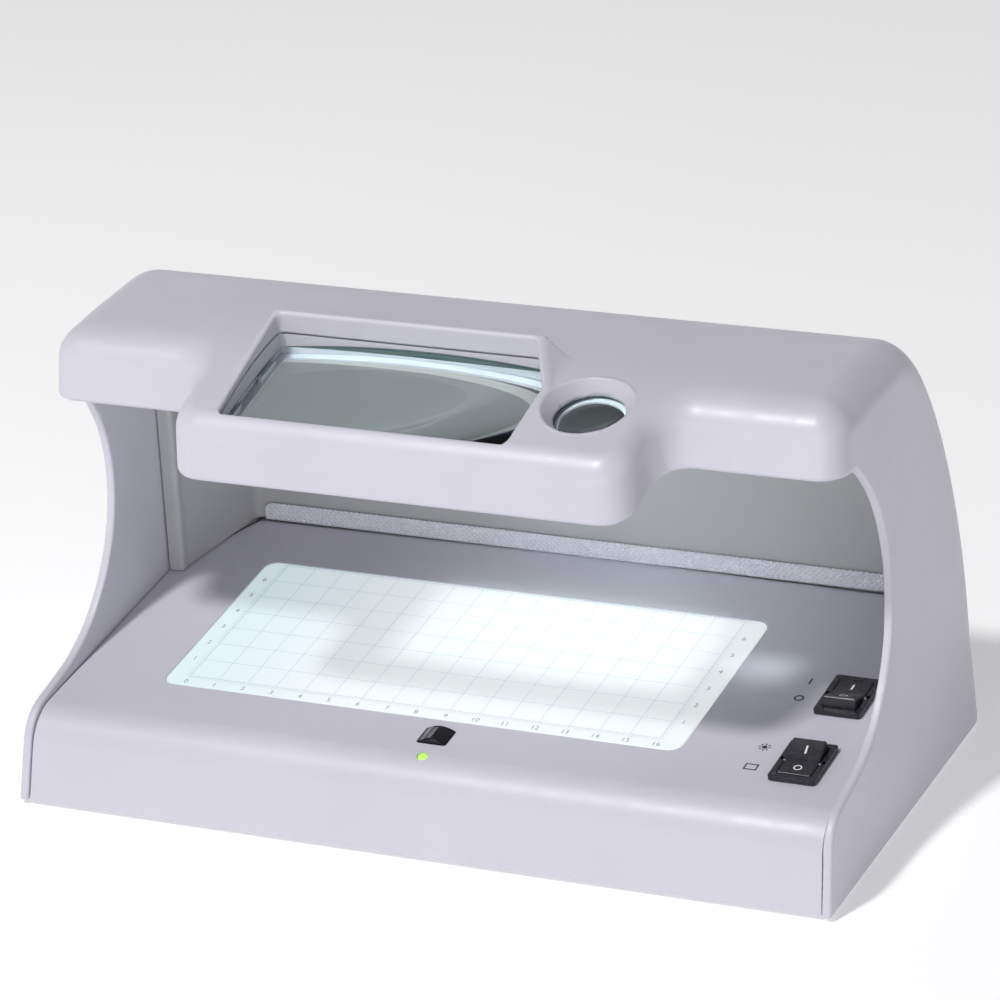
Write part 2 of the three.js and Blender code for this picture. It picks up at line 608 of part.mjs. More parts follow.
const headPlace = onDeck(HEAD.x, HEAD.y);
const HEAD_HALF = [4.7, 4.15]; // half its width and half its depth
const HEAD_CROWN = 1.4; // its top is an arc across its width and stands this far above the deck
const headArc = (HEAD_HALF[0] ** 2 + HEAD_CROWN ** 2) / (2 * HEAD_CROWN);
const headArcStart = Math.acos(HEAD_HALF[0] / headArc);
const headSection = [
  [-HEAD_HALF[0], -10], [HEAD_HALF[0], -10],
  ...arc(0, HEAD_CROWN - headArc, headArc, headArcStart, Math.PI - headArcStart, 12),
];
add('magnetic_head', prismY(headSection, -HEAD_HALF[1], HEAD_HALF[1]), chrome, headPlace);

// A hat-shaped clip: two feet under the deck and a floor below the head.
const headBracket = () => prismY(mirrored([
  [9, -10.4], [9, -3.7], [15, -3.7], [15, -4.7], [10, -4.7], [10, -11.4],
]).reverse(), -4, 4);

add('head_bracket', headBracket(), steel, headPlace);

function indicator() {
  const dome = [[0, 20.5], [1.5, 20.5], [1.5, 27.3], [1.3, 27.9], [0.8, 28.35], [0, 28.5]];
  const leads = [-0.8, 0.8].map((x) => box(x - 0.25, x + 0.25, -0.25, 0.25, 10, 21));
  return join(turned(dome, 20), ...leads);
}

add('indicator_led', indicator(), greenGlow, place(LED.x, LED.y, 0));

// ---- electronics --------------------------------------------------------------------------------------

add('ballast_board', box(-22, 62, 46, 64, 7.5, 9.1), boardGreen);
add('transformer', join(box(28, 52, 48, 62, 9.4, 24), box(31, 49, 46.5, 63.5, 12, 21.5)), ferrite);
add('capacitor_1', post(5, 9.4, 25, 12, 55), sleeve);
add('capacitor_2', post(4, 9.4, 21, -4, 55), sleeve);
add('amplifier_board', box(-30, 30, -60, -43, 8, 9.6), boardGreen);
add('buzzer', turned([[0, 9.9], [5.5, 9.9], [5.5, 16.5], [1.2, 16.5], [1.2, 15.5], [0, 15.5]], 20)
  .translate(19, -51, 0), blackPlastic);

function mainsInlet() {
  const { half, rise } = INLET;
  const body = box(-half, half, -18, -0.7, -rise, rise);
  const alongY = (radius, y0, y1, x) => rod(radius, y0, y1, 0, 0, 16).rotateZ(Math.PI / 2).translate(x, 0, 0);
  const sockets = [-3.7, 3.7].map((x) => alongY(3.9, -10, 1, x));
  const pins = [-3.7, 3.7].map((x) => alongY(1.2, -12, -5.6, x));
  return join(cut(body, ...sockets), ...pins);
}

add('mains_inlet', mainsInlet(), blackPlastic, place(INLET.x, REAR, INLET.z));

// ---- feet and screws ------------------------------------------------------------------------------------

FOOT_SPOTS.forEach(([x, y], i) => {
  add(`foot_${i + 1}`, turned([[0, 0], [6.2, 0], [7, 0.8], [7, 2], [0, 2]], 24), rubber, place(x, y, 0));
});

// A screw stands head down at the origin, its shank up +Z.
const screw = (length) => cut(
  turned([[0, 0], [2.6, 0], [3.2, 0.5], [3.2, 1.4], [1.4, 1.4], [1.4, length - 1], [0, length]], 16),
  box(-2, 2, -0.35, 0.35, -1, 0.6), box(-0.35, 0.35, -2, 2, -1, 0.6));

SCREW_SPOTS.forEach(([x, y], i) => {
  add(`cover_screw_${i + 1}`, screw(13), steel, place(x, y, 0.6));
});
HOOD_SCREWS.forEach(([x, y], i) => {
  add(`hood_screw_${i + 1}`, screw(8), steel, place(x, y, HOOD_LIP + COVER_RISE - 1.7));
});

export default root;
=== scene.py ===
# Looks of the desktop banknote detector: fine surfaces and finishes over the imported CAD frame.
# Lengths are millimetres in the part's frame (+X right, +Y rear, +Z up) until a mesh is made.
import json
import math

import bmesh
import bpy
import numpy as np
from mathutils import Matrix, Vector

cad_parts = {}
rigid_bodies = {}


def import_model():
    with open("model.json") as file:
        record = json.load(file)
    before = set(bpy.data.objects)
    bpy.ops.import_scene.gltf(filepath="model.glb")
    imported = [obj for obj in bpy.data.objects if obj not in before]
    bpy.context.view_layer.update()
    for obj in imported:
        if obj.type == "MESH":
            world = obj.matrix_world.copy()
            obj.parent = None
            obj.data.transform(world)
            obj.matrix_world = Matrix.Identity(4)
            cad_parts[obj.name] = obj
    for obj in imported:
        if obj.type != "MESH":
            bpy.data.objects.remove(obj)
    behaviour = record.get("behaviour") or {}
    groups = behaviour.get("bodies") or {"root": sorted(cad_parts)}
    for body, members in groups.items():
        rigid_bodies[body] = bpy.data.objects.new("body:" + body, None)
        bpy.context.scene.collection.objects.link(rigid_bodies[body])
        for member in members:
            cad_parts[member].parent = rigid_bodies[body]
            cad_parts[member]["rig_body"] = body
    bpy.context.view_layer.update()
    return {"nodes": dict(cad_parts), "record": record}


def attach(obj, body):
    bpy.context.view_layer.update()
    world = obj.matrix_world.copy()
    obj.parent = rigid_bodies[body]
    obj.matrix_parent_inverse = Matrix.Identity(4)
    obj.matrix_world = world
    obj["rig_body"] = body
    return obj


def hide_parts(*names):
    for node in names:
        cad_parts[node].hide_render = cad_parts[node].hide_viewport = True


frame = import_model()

MM = 0.001


SLOT_OF = {part["node"]: part["material_slot"] for part in frame["record"]["subparts"]}

# ---- the part's main dimensions ----

HALF_WIDTH = 136
DRAFT = 0.039
REAR = 72.1
SKIRT = 1.5
HOOD_TOP = 144.1
WALL = 2.5
CHEEK_WALL = 3
GAP = 0.4
FOOT_CORNER = 20
CROWN_CORNER = 11
FLAT_END = -3.5
BROW_RADIUS = 140
BROW_SLOPE = math.radians(16)
HOOD_LIP = 122.2
LIP_KNEE = -32.3
LIP_SLOPE = 0.266
DECK_HEIGHT = 32.45
DECK_TILT = math.radians(4.42)
DECK_WALL = 3.2
TRAY_HALF = 132.6
TRAY_REAR = 68.4
PANEL = {"left": -100.8, "right": 74.6, "front": -36, "rear": 41, "thick": 1.8}
SEAT = 2.1
LENS = Vector((-11.5, -31.25, 132.4))
LENS_TILT = math.radians(9.2)
LOUPE = (53.3, -34.2)
SWITCH_X = 114.4
SWITCH_Y = {"power": 3.7, "mode": -34.4}
ROCK = math.radians(12)
HEAD = (-1.2, -45.3)
LED = (-0.9, -56)
INLET = (88, 18)
HOOD_SCREWS = [(-16, 141), (34, 134.5)]  # y and boss top, at x = 112 on both sides
HOOD_SCREW_X = 112


def deck_top(y):
    return DECK_HEIGHT + y * math.tan(DECK_TILT)


def side_scale(z):
    return 1 - DRAFT * z / HALF_WIDTH


# ---- outlines ----


def arc(cx, cy, radius, start, end, steps):
    angles = np.linspace(start, end, steps + 1)
    return [(cx + radius * math.cos(a), cy + radius * math.sin(a)) for a in angles]


def circle(x, y, radius, sides):
    return arc(x, y, radius, 0, 2 * math.pi * (sides - 1) / sides, sides - 1)


def bezier(p0, p1, p2, p3, steps):
    p0, p1, p2, p3 = map(np.array, (p0, p1, p2, p3))
    curve = []
    for t in np.linspace(0, 1, steps + 1):
        s = 1 - t
        curve.append(tuple(s**3 * p0 + 3 * s * s * t * p1 + 3 * s * t * t * p2 + t**3 * p3))
    return curve


def rounded(corners, steps=10):
    """A polygon of (a, b, radius) corners, each rounded by its radius."""
    points = []
    for i, corner in enumerate(corners):
        here = Vector(corner[:2])
        radius = corner[2] if len(corner) > 2 else 0
        if not radius:
            points.append(tuple(here))
            continue
        u = (Vector(corners[i - 1][:2]) - here).normalized()
        v = (Vector(corners[(i + 1) % len(corners)][:2]) - here).normalized()
        half = math.acos(max(-1, min(1, u.dot(v)))) / 2
        centre = here + (u + v).normalized() * (radius / math.sin(half))
        a = here + u * (radius / math.tan(half)) - centre
        b = here + v * (radius / math.tan(half)) - centre
        turn = math.atan2(a.x * b.y - a.y * b.x, a.dot(b))
        for k in range(steps + 1):
            angle = turn * k / steps
            c, s = math.cos(angle), math.sin(angle)
            points.append((centre.x + a.x * c - a.y * s, centre.y + a.x * s + a.y * c))
    return points


def rounded_box(x0, x1, y0, y1, radius, steps=10):
    return rounded([(x0, y0, radius), (x1, y0, radius), (x1, y1, radius), (x0, y1, radius)], steps)


def back_curve(inset, steps=48):
    top = HOOD_TOP - inset
    hip = REAR - 0.7 - inset
    curve = bezier((hip, 38), (hip - 1.2, 87.5), (46.6 - inset, top), (18.5, top), steps)
    return [(REAR - inset, SKIRT)] + curve


def brow_curve(inset, front):
    top = HOOD_TOP - inset
    fall = arc(FLAT_END, top - BROW_RADIUS, BROW_RADIUS, math.pi / 2, math.pi / 2 + BROW_SLOPE, 14)
    y, z = fall[-1]
    return fall + [(front, z - (y - front) * math.tan(BROW_SLOPE))]


def base_front(inset):
    return rounded([
        (-71.3 + inset, SKIRT),
        (-63.6 + inset * 0.74, deck_top(-63.6) - inset, 14 - inset),
        (-40, deck_top(-40) - inset),
    ], 24)


# ---- distance fields: the shell is meshed from one smooth field ----


def outline_distance(outline, a, b):
    """Distance of every point (a, b) to a closed outline, negative inside it."""
    nearest = np.full(a.shape, 1e9, np.float32)
    inside = np.zeros(a.shape, bool)
    for (a0, b0), (a1, b1) in zip(outline, outline[1:] + outline[:1]):
        da, db = a1 - a0, b1 - b0
        if abs(da) + abs(db) < 1e-9:
            continue
        t = np.clip(((a - a0) * da + (b - b0) * db) / (da * da + db * db), 0, 1)
        nearest = np.minimum(nearest, (a - a0 - t * da) ** 2 + (b - b0 - t * db) ** 2)
        if db:
            crosses = ((b0 > b) != (b1 > b)) & (a < a0 + (b - b0) * da / db)
            inside ^= crosses
    return np.sqrt(nearest) * np.where(inside, -1, 1)


class Table:
    """Signed distance to an outline, kept on a fine square grid and read between its points."""

    def __init__(self, outline, low, high, step):
        self.low = low
        self.step = step
        axes = [np.arange(a, b + step, step, dtype=np.float32) for a, b in zip(low, high)]
        self.values = outline_distance(outline, *np.meshgrid(*axes, indexing="ij")).astype(np.float32)

    def __call__(self, a, b):
        u = np.clip((a - self.low[0]) / self.step, 0, self.values.shape[0] - 1.001)
        v = np.clip((b - self.low[1]) / self.step, 0, self.values.shape[1] - 1.001)
        i, j = u.astype(np.int32), v.astype(np.int32)
        u, v = u - i, v - j
        g = self.values
        near = g[i, j] * (1 - v) + g[i, j + 1] * v
        far = g[i + 1, j] * (1 - v) + g[i + 1, j + 1] * v
        return near * (1 - u) + far * u


def meet(p, q, radius):
    """Common part of two fields, its edge rounded by radius."""
    edge = np.hypot(np.maximum(p + radius, 0), np.maximum(q + radius, 0))
    return np.minimum(-radius, np.maximum(p, q)) + edge


def merge(p, q, radius):
    """Union of two fields with a fillet of radius."""
    return -meet(-p, -q, radius)


def ease(t):
    t = np.clip(t, 0, 1)
    return t * t * (3 - 2 * t)


def cheek_region():
    centre, radius = (-52.7, 82.5), 51.1
    top = math.asin((HOOD_LIP - centre[1]) / radius)
    front = rounded([(-72.1, SKIRT - 8), (-72.1, SKIRT), (-64.3, 27.9, 14), (-52, 30.43)], 20)
    return front + arc(*centre, radius, 0.205 - math.pi / 2, top, 60) + [
        (-18, 128), (95, 128), (95, SKIRT - 8)]


WINDOW = rounded([
    (-59.1, -54.5, 2.2), (35.4, -54.5, 2.2), (36.8, -29, 2), (26.5, -8.6, 2), (-60.4, -8.6, 2.2)])
PROFILE = [(REAR, -60)] + back_curve(0) + brow_curve(0, -200) + [(-200, -60)]
HOOD_PLAN = rounded([
    (-300, -61), (77.6, -61, 10.4), (77.6, -31, 12),
    (HALF_WIDTH, -31, 9.8), (HALF_WIDTH, 400), (-300, 400)], 24)
BORE = [(-30, -14), (11.9, -14), (11.9, -5.4), (10.9, -5.4), (10.9, -4.2), (16.13, 3), (-30, 3)]
LOUPE_TILT = math.asin((FLAT_END - LOUPE[1]) / BROW_RADIUS)
LOUPE_HEIGHT = HOOD_TOP - BROW_RADIUS * (1 - math.cos(LOUPE_TILT))
RIM_FOOT = (-42.1, 138.7)
RIM_RIGHT = ((38.8, -28.6, 142.57), (0.459, -0.035, 0.888))  # point and normal of its slanting end
RIM_CORNER = ((28.3, -6.7), (0.394, 0.919))  # point and normal of the upright face behind that end
RIM_LEFT = -62.2
RIM_CREST = -6.7
MIDDLE_LEAN = 0.052  # how far the hood's front leans back for each millimetre of height
SHOULDER_LEAN = 0.187
BROW_EDGE = 6.5  # rounding along the hood's front edge
BOSS_RADIUS = 3.6
BOSS_FOOT = 127.1


def shell_field():
    profile = Table(PROFILE, (-100, -20), (100, 165), 0.5)
    plan = Table(HOOD_PLAN, (0, -100), (160, 100), 0.5)
    cheeks = Table(cheek_region(), (-100, -20), (100, 165), 0.5)
    window = Table(WINDOW, (-80, -70), (60, 10), 0.25)
    bore = Table(BORE, (0, -16), (24, 8), 0.1)

    def rim(x, y, z, below_skin):
        slope = math.tan(BROW_SLOPE)
        top = (z - RIM_FOOT[1] - (y - RIM_FOOT[0]) * slope) * math.cos(BROW_SLOPE)
        field = meet(meet(top, RIM_LEFT - x, 0.9), y - RIM_CREST, 0.7)
        point, normal = RIM_RIGHT
        end = (x - point[0]) * normal[0] + (y - point[1]) * normal[1] + (z - point[2]) * normal[2]
        field = meet(field, end, 0.5)
        corner, outward = RIM_CORNER
        field = meet(field, (x - corner[0]) * outward[0] + (y - corner[1]) * outward[1], 0.5)
        return np.maximum(field, np.maximum(RIM_FOOT[0] + 0.5 - y, below_skin))

    def loupe_frame(x, y, z):
        c, s = math.cos(LOUPE_TILT), math.sin(LOUPE_TILT)
        across = (y - LOUPE[1]) * c + (z - LOUPE_HEIGHT) * s
        up = (z - LOUPE_HEIGHT) * c - (y - LOUPE[1]) * s
        return np.hypot(x - LOUPE[0], across), up

    def field(x, y, z):
        across = np.abs(x) / side_scale(z)
        back = profile(y, z)
        side = across - HALF_WIDTH
        corner = np.interp(z, (30, 130), (FOOT_CORNER, CROWN_CORNER)).astype(np.float32)
        brow_edge = BROW_EDGE + (corner - BROW_EDGE) * ease((y + 34) / 20)
        shoulder = ease((across - 68) / 20)
        lean = MIDDLE_LEAN + (SHOULDER_LEAN - MIDDLE_LEAN) * shoulder
        front = plan(across, y + 1.3 * shoulder - lean * (z - 118 - 4.2 * shoulder))
        lip = HOOD_LIP + LIP_SLOPE * np.minimum(y - LIP_KNEE, 0)
        hood = meet(meet(back, front, brow_edge), lip - z, 0.9)
        cheek = meet(meet(back, side, corner), cheeks(y, z), 0.9)
        outside = np.minimum(hood, cheek)
        under_hood = meet(back + WALL, front + CHEEK_WALL, brow_edge - WALL)
        bay = np.maximum(meet(back + WALL, side + CHEEK_WALL, corner - WALL), z - (lip - 3))
        skin = meet(outside, -np.minimum(under_hood, bay), 0.7)
        skin = meet(skin, SKIRT - z, 0.5)
        # the raised rim of the window, with a fillet that fades as the rim sinks into the brow
        brow = HOOD_TOP - BROW_RADIUS + np.sqrt(BROW_RADIUS**2 - np.clip(y - FLAT_END, -60, 0) ** 2)
        rise = RIM_FOOT[1] + (y - RIM_FOOT[0]) * math.tan(BROW_SLOPE) - brow
        fillet = np.clip(0.4 * rise, 0.02, 0.9)
        skin = merge(skin, rim(x, y, z, -1.7 - back), fillet)
        radial, up = loupe_frame(x, y, z)
        skin = merge(skin, np.maximum(radial - 13, np.maximum(up + 1.5, -9.5 - up)), 2.2)
        for screw_y, top in HOOD_SCREWS:
            boss = np.hypot(np.abs(x) - HOOD_SCREW_X, y - screw_y) - BOSS_RADIUS
            skin = np.minimum(skin, np.maximum(boss, np.maximum(z - top, BOSS_FOOT - z)))
        skin = meet(skin, -np.maximum(window(x, y), 118 - z), 0.8)
        skin = meet(skin, -bore(radial, up), 0.5)
        inlet = np.maximum(np.abs(x - INLET[0]) - 12.4, np.abs(z - INLET[1]) - 7.4)
        return meet(skin, -np.maximum(inlet, 52 - y), 0.4)

    return field


CORNERS = [(i, j, k) for i in (0, 1) for j in (0, 1) for k in (0, 1)]
CELL_EDGES = [(a, b) for a in range(8) for b in range(a + 1, 8)
              if sum(abs(p - q) for p, q in zip(CORNERS[a], CORNERS[b])) == 1]


def sampled(field, low, high, step):
    axes = [np.arange(a, b + step, step, dtype=np.float32) for a, b in zip(low, high)]
    grid = np.empty([len(axis) for axis in axes], np.float32)
    for i in range(0, len(axes[0]), 24):
        x, y, z = np.meshgrid(axes[0][i:i + 24], axes[1], axes[2], indexing="ij")
        grid[i:i + 24] = field(x, y, z)
    return grid


def surface_net(grid, low, step):
    """Vertices and quads of the zero level of a sampled field: one vertex in each crossed cell."""
    inside = grid < 0
    cells = [n - 1 for n in grid.shape]

    def shifted(values, corner):
        return values[tuple(slice(o, o + n) for o, n in zip(corner, cells))]

    count = sum(shifted(inside, c).astype(np.uint8) for c in CORNERS)
    active = (count > 0) & (count < 8)
    where = np.argwhere(active)
    number = np.full(cells, -1, np.int32)
    number[active] = np.arange(len(where))
    value = [shifted(grid, c)[active] for c in CORNERS]
    total = np.zeros((len(where), 3))
    hits = np.zeros((len(where), 1))
    for a, b in CELL_EDGES:
        crossed = ((value[a] < 0) != (value[b] < 0))[:, None]
        gap = np.where(crossed[:, 0], value[a] - value[b], 1)
        t = (value[a] / gap)[:, None]
        start, end = np.array(CORNERS[a]), np.array(CORNERS[b])
        total += np.where(crossed, start + t * (end - start), 0)
        hits += crossed
    vertices = np.array(low) + (where + total / hits) * step
    quads = []
    for axis in range(3):
        u, v = [(1, 2), (2, 0), (0, 1)][axis]
        here = [slice(1, n) for n in cells]
        here[axis] = slice(0, cells[axis])
        ahead = list(here)
        ahead[axis] = slice(1, cells[axis] + 1)
        a, b = inside[tuple(here)], inside[tuple(ahead)]
        spots = np.argwhere(a != b)
        offset = np.ones(3, int)
        offset[axis] = 0
        spots = spots + offset
        rises = b[tuple((spots - offset).T)]
        ring = []
        for du, dv in ((0, 0), (1, 0), (1, 1), (0, 1)):
            cell = spots.copy()
            cell[:, u] -= du
            cell[:, v] -= dv
            ring.append(number[tuple(cell.T)])
        quad = np.stack(ring, 1)
        quad[rises] = quad[rises][:, ::-1]
        quads.append(quad)
    return vertices, np.concatenate(quads)


def gradient(field, points, reach=0.06):
    slope = np.empty_like(points)
    for axis in range(3):
        ahead, behind = points.copy(), points.copy()
        ahead[:, axis] += reach
        behind[:, axis] -= reach
        slope[:, axis] = (field(*ahead.T) - field(*behind.T)) / (2 * reach)
    return slope


def onto_surface(field, points, rounds):
    for _ in range(rounds):
        slope = gradient(field, points)
        size = np.maximum((slope**2).sum(1), 0.05)
        move = field(*points.T)[:, None] * slope / size[:, None]
        points = points - np.clip(move, -0.6, 0.6)
    return points


# ---- objects ----

FINISH = {}


def link(name, mesh):
    obj = bpy.data.objects.new(name, mesh)
    bpy.context.scene.collection.objects.link(obj)
    return obj


def settle(obj, node, finish=None, stands_for=True):
    """Gives a piece its finish and slot, and lets it ride where its CAD node does."""
    material = finish or FINISH[SLOT_OF[node]]
    if not obj.data.materials:
        obj.data.materials.append(material)
    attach(obj, frame["nodes"][node]["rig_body"])
    if stands_for:
        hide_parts(node)
    return obj


def soften(mesh, crease=35):
    mesh.shade_smooth()
    mesh.set_sharp_from_angle(angle=math.radians(crease))


def mesh_of(name, vertices, faces, matrix=None, crease=35):
    mesh = bpy.data.meshes.new(name)
    matrix = matrix or Matrix.Identity(4)
    mesh.from_pydata([matrix @ Vector(v) * MM for v in vertices], [], [tuple(map(int, f)) for f in faces])
    mesh.validate()
    tidy = bmesh.new()
    tidy.from_mesh(mesh)
    bmesh.ops.remove_doubles(tidy, verts=tidy.verts, dist=1e-7)
    bmesh.ops.recalc_face_normals(tidy, faces=tidy.faces)
    tidy.to_mesh(mesh)
    tidy.free()
    soften(mesh, crease)
    return mesh


def bevelled(obj, width, segments=2, angle=35):
    edge = obj.modifiers.new("edge", "BEVEL")
    edge.width = width * MM
    edge.segments = segments
    edge.limit_method = "ANGLE"
    edge.angle_limit = math.radians(angle)
    edge.harden_normals = True
    return obj


def applied(obj):
    """The object with its modifiers worked into its mesh."""
    ready = bpy.data.meshes.new_from_object(obj.evaluated_get(bpy.context.evaluated_depsgraph_get()))
    obj.modifiers.clear()
    obj.data = ready
    return obj


def prism(outline, low, high, axis="z"):
    """Vertices and faces of an outline extruded along an axis from low to high."""
    order = {"x": lambda a, b, h: (h, a, b), "y": lambda a, b, h: (a, h, b), "z": lambda a, b, h: (a, b, h)}
    spot = order[axis]
    n = len(outline)
    vertices = [spot(a, b, low) for a, b in outline] + [spot(a, b, high) for a, b in outline]
    faces = [tuple(range(n)), tuple(range(2 * n - 1, n - 1, -1))]
    faces += [(i, n + i, n + (i + 1) % n, (i + 1) % n) for i in range(n)]
    return vertices, faces


def block(x0, x1, y0, y1, z0, z1):
    return prism([(x0, y0), (x1, y0), (x1, y1), (x0, y1)], z0, z1)


def lathe(profile, sides=64):
    """A (radius, height) profile turned about Z."""
    vertices, rings, faces = [], [], []
    for radius, height in profile:
        start = len(vertices)
        if radius < 1e-6:
            vertices.append((0, 0, height))
            rings.append([start] * sides)
            continue
        for k in range(sides):
            a = 2 * math.pi * k / sides
            vertices.append((radius * math.cos(a), radius * math.sin(a), height))
        rings.append(list(range(start, start + sides)))
    for low, high in zip(rings, rings[1:]):
        for k in range(sides):
            n = (k + 1) % sides
            face = list(dict.fromkeys((low[k], low[n], high[n], high[k])))
            if len(face) > 2:
                faces.append(tuple(face))
    return vertices, faces


def together(*solids):
    vertices, faces = [], []
    for some_vertices, some_faces in solids:
        base = len(vertices)
        vertices += list(some_vertices)
        faces += [tuple(base + i for i in face) for face in some_faces]
    return vertices, faces


def moved(solid, matrix):
    vertices, faces = solid
    return [tuple(matrix @ Vector(v)) for v in vertices], faces


def place(x, y, z, tilt=0):
    return Matrix.Translation((x, y, z)) @ Matrix.Rotation(tilt, 4, "X")


def on_deck(x, y):
    return place(x, y, deck_top(y), DECK_TILT)


ALONG_X = Matrix.Rotation(math.pi / 2, 4, "Y")
ALONG_Y = Matrix.Rotation(-math.pi / 2, 4, "X")


def piece(node, solid, matrix=None, bevel=0, segments=2, crease=35, finish=None, name=None):
    name = name or "fine_" + node
    obj = link(name, mesh_of(name, *solid, matrix, crease))
    if bevel:
        bevelled(obj, bevel, segments)
    return settle(obj, node, finish, stands_for=name == "fine_" + node)


def refined(node, width, segments=2, angle=35):
    """The CAD node's own shape with its triangles merged and its edges broken."""
    work = bmesh.new()
    work.from_mesh(frame["nodes"][node].data)
    bmesh.ops.remove_doubles(work, verts=work.verts, dist=2e-6)
    bmesh.ops.dissolve_limit(work, angle_limit=math.radians(1), verts=work.verts, edges=work.edges)
    mesh = bpy.data.meshes.new("fine_" + node)
    work.to_mesh(mesh)
    work.free()
    mesh.materials.clear()
    soften(mesh)
    return settle(bevelled(link("fine_" + node, mesh), width, segments, angle), node)


def carved(obj, operation, *solids):
    """Cuts obj by solids, or keeps the part of it inside them."""
    tool = link("tool", mesh_of("tool", *together(*solids)))
    step = obj.modifiers.new("cut", "BOOLEAN")
    step.operation = operation
    step.object = tool
    step.solver = "EXACT"
    applied(obj)
    bpy.data.objects.remove(tool)
    return obj


def placed(obj, matrix, crease=35):
    """Moves a cut piece's mesh to its place and clears what the cutting left on it."""
    for vertex in obj.data.vertices:
        vertex.co = (matrix @ (vertex.co / MM)) * MM
    obj.data.materials.clear()
    soften(obj.data, crease)
    return obj


# ---- finishes ----


def math_node(tree, operation, a, b, clamp=False):
    node = tree.nodes.new("ShaderNodeMath")
    node.operation = operation
    node.use_clamp = clamp
    for socket, value in zip(node.inputs, (a, b)):
        if isinstance(value, (int, float)):
            socket.default_value = value
        else:
            tree.links.new(value, socket)
    return node.outputs["Value"]


class Shader:
    """A material with short calls for the few node kinds used here."""

    def __init__(self, name, rough, metal=0.0):
        self.material = bpy.data.materials.new(name)
        self.material.use_nodes = True
        self.tree = self.material.node_tree
        self.main = self.tree.nodes["Principled BSDF"]
        self.main.inputs["Roughness"].default_value = rough
        self.main.inputs["Metallic"].default_value = metal
        self.place = self.tree.nodes.new("ShaderNodeTexCoord").outputs["Object"]

    def join(self, source, target):
        self.tree.links.new(source, target)

    def noise(self, size, detail=2.0, stretch=(1, 1, 1)):
        """Noise with features of about size millimetres, longer along stretched axes."""
        mapping = self.tree.nodes.new("ShaderNodeMapping")
        mapping.inputs["Scale"].default_value = [1 / s for s in stretch]
        node = self.tree.nodes.new("ShaderNodeTexNoise")
        node.inputs["Scale"].default_value = 1 / (size * MM)
        node.inputs["Detail"].default_value = detail
        self.join(self.place, mapping.inputs["Vector"])
        self.join(mapping.outputs["Vector"], node.inputs["Vector"])
        return node.outputs["Fac"]

    def ramp(self, source, *stops):
        node = self.tree.nodes.new("ShaderNodeValToRGB")
        while len(node.color_ramp.elements) < len(stops):
            node.color_ramp.elements.new(0.5)
        for element, (position, colour) in zip(node.color_ramp.elements, stops):
            element.position = position
            element.color = (*colour, 1)
        self.join(source, node.inputs["Fac"])
        return node.outputs["Color"]

    def span(self, source, low, high):
        node = self.tree.nodes.new("ShaderNodeMapRange")
        node.inputs["From Min"].default_value = 0.3
        node.inputs["From Max"].default_value = 0.7
        node.inputs["To Min"].default_value = low
        node.inputs["To Max"].default_value = high
        self.join(source, node.inputs["Value"])
        return node.outputs["Result"]

    def math(self, operation, a, b):
        return math_node(self.tree, operation, a, b)

    def bump(self, height, depth):
        node = self.tree.nodes.new("ShaderNodeBump")
        node.inputs["Distance"].default_value = depth * MM
        self.join(height, node.inputs["Height"])
        self.join(node.outputs["Normal"], self.main.inputs["Normal"])


def toned(colour, share):
    return tuple(min(1, c * share) for c in colour)


def drifting(shader, source, colour, drift):
    """Base colour that drifts either side of colour with a noise."""
    stops = (0.3, toned(colour, 1 - drift)), (0.7, toned(colour, 1 + drift))
    shader.join(shader.ramp(source, *stops), shader.main.inputs["Base Color"])


def moulded(name, colour, rough, grain=0.55, depth=0.02, drift=0.025):
    """Moulded plastic: a fine even texture, with faint drifts of tone and gloss."""
    shader = Shader(name, rough)
    drifting(shader, shader.noise(38, 3), colour, drift)
    shader.join(shader.span(shader.noise(6, 2), rough - 0.04, rough + 0.05), shader.main.inputs["Roughness"])
    shader.bump(shader.noise(grain, 3), depth)
    return shader.material


def metal(name, colour, rough, stretch, drift=0.1):
    """Metal with fine drawn lines along the stretched axis."""
    shader = Shader(name, rough, 1.0)
    lines = shader.noise(0.4, 4, stretch)
    drifting(shader, lines, colour, drift)
    shader.join(shader.span(lines, rough * 0.8, rough * 1.3), shader.main.inputs["Roughness"])
    shader.bump(lines, 0.004)
    return shader.material


def clear_glass(name, face, tint):
    """Lens glass with a colder tint in patches; lamps shine through it."""
    shader = Shader(name, 0.02)
    shader.main.inputs["IOR"].default_value = 1.52
    shader.main.inputs["Transmission Weight"].default_value = 1.0
    colours = shader.ramp(shader.noise(45, 1), (0.25, face), (0.75, tint))
    shader.join(colours, shader.main.inputs["Base Color"])
    path = shader.tree.nodes.new("ShaderNodeLightPath")
    through = shader.tree.nodes.new("ShaderNodeBsdfTransparent")
    through.inputs["Color"].default_value = (*face, 1)
    mix = shader.tree.nodes.new("ShaderNodeMixShader")
    shader.join(path.outputs["Is Shadow Ray"], mix.inputs["Fac"])
    shader.join(shader.main.outputs["BSDF"], mix.inputs[1])
    shader.join(through.outputs["BSDF"], mix.inputs[2])
    shader.join(mix.outputs["Shader"], shader.tree.nodes["Material Output"].inputs["Surface"])
    return shader.material


def lamp_glass(name, colour, glow, strength):
    shader = Shader(name, 0.12)
    colours = shader.ramp(shader.noise(9, 2), (0.3, toned(colour, 0.94)), (0.7, toned(colour, 1.04)))
    shader.join(colours, shader.main.inputs["Base Color"])
    shader.main.inputs["Coat Weight"].default_value = 0.5
    shader.main.inputs["Emission Color"].default_value = (*glow, 1)
    shader.main.inputs["Emission Strength"].default_value = strength
    return shader.material


GRID = {"left": -93.45, "front": -30.2, "long": 160, "deep": 70}  # the ruled area on the panel
GRID_LINE = 0.09  # half widths of the printed lines
TICK_LINE = 0.08
TICK_LENGTH = 1.6
PRINT_DENSITY = 0.62


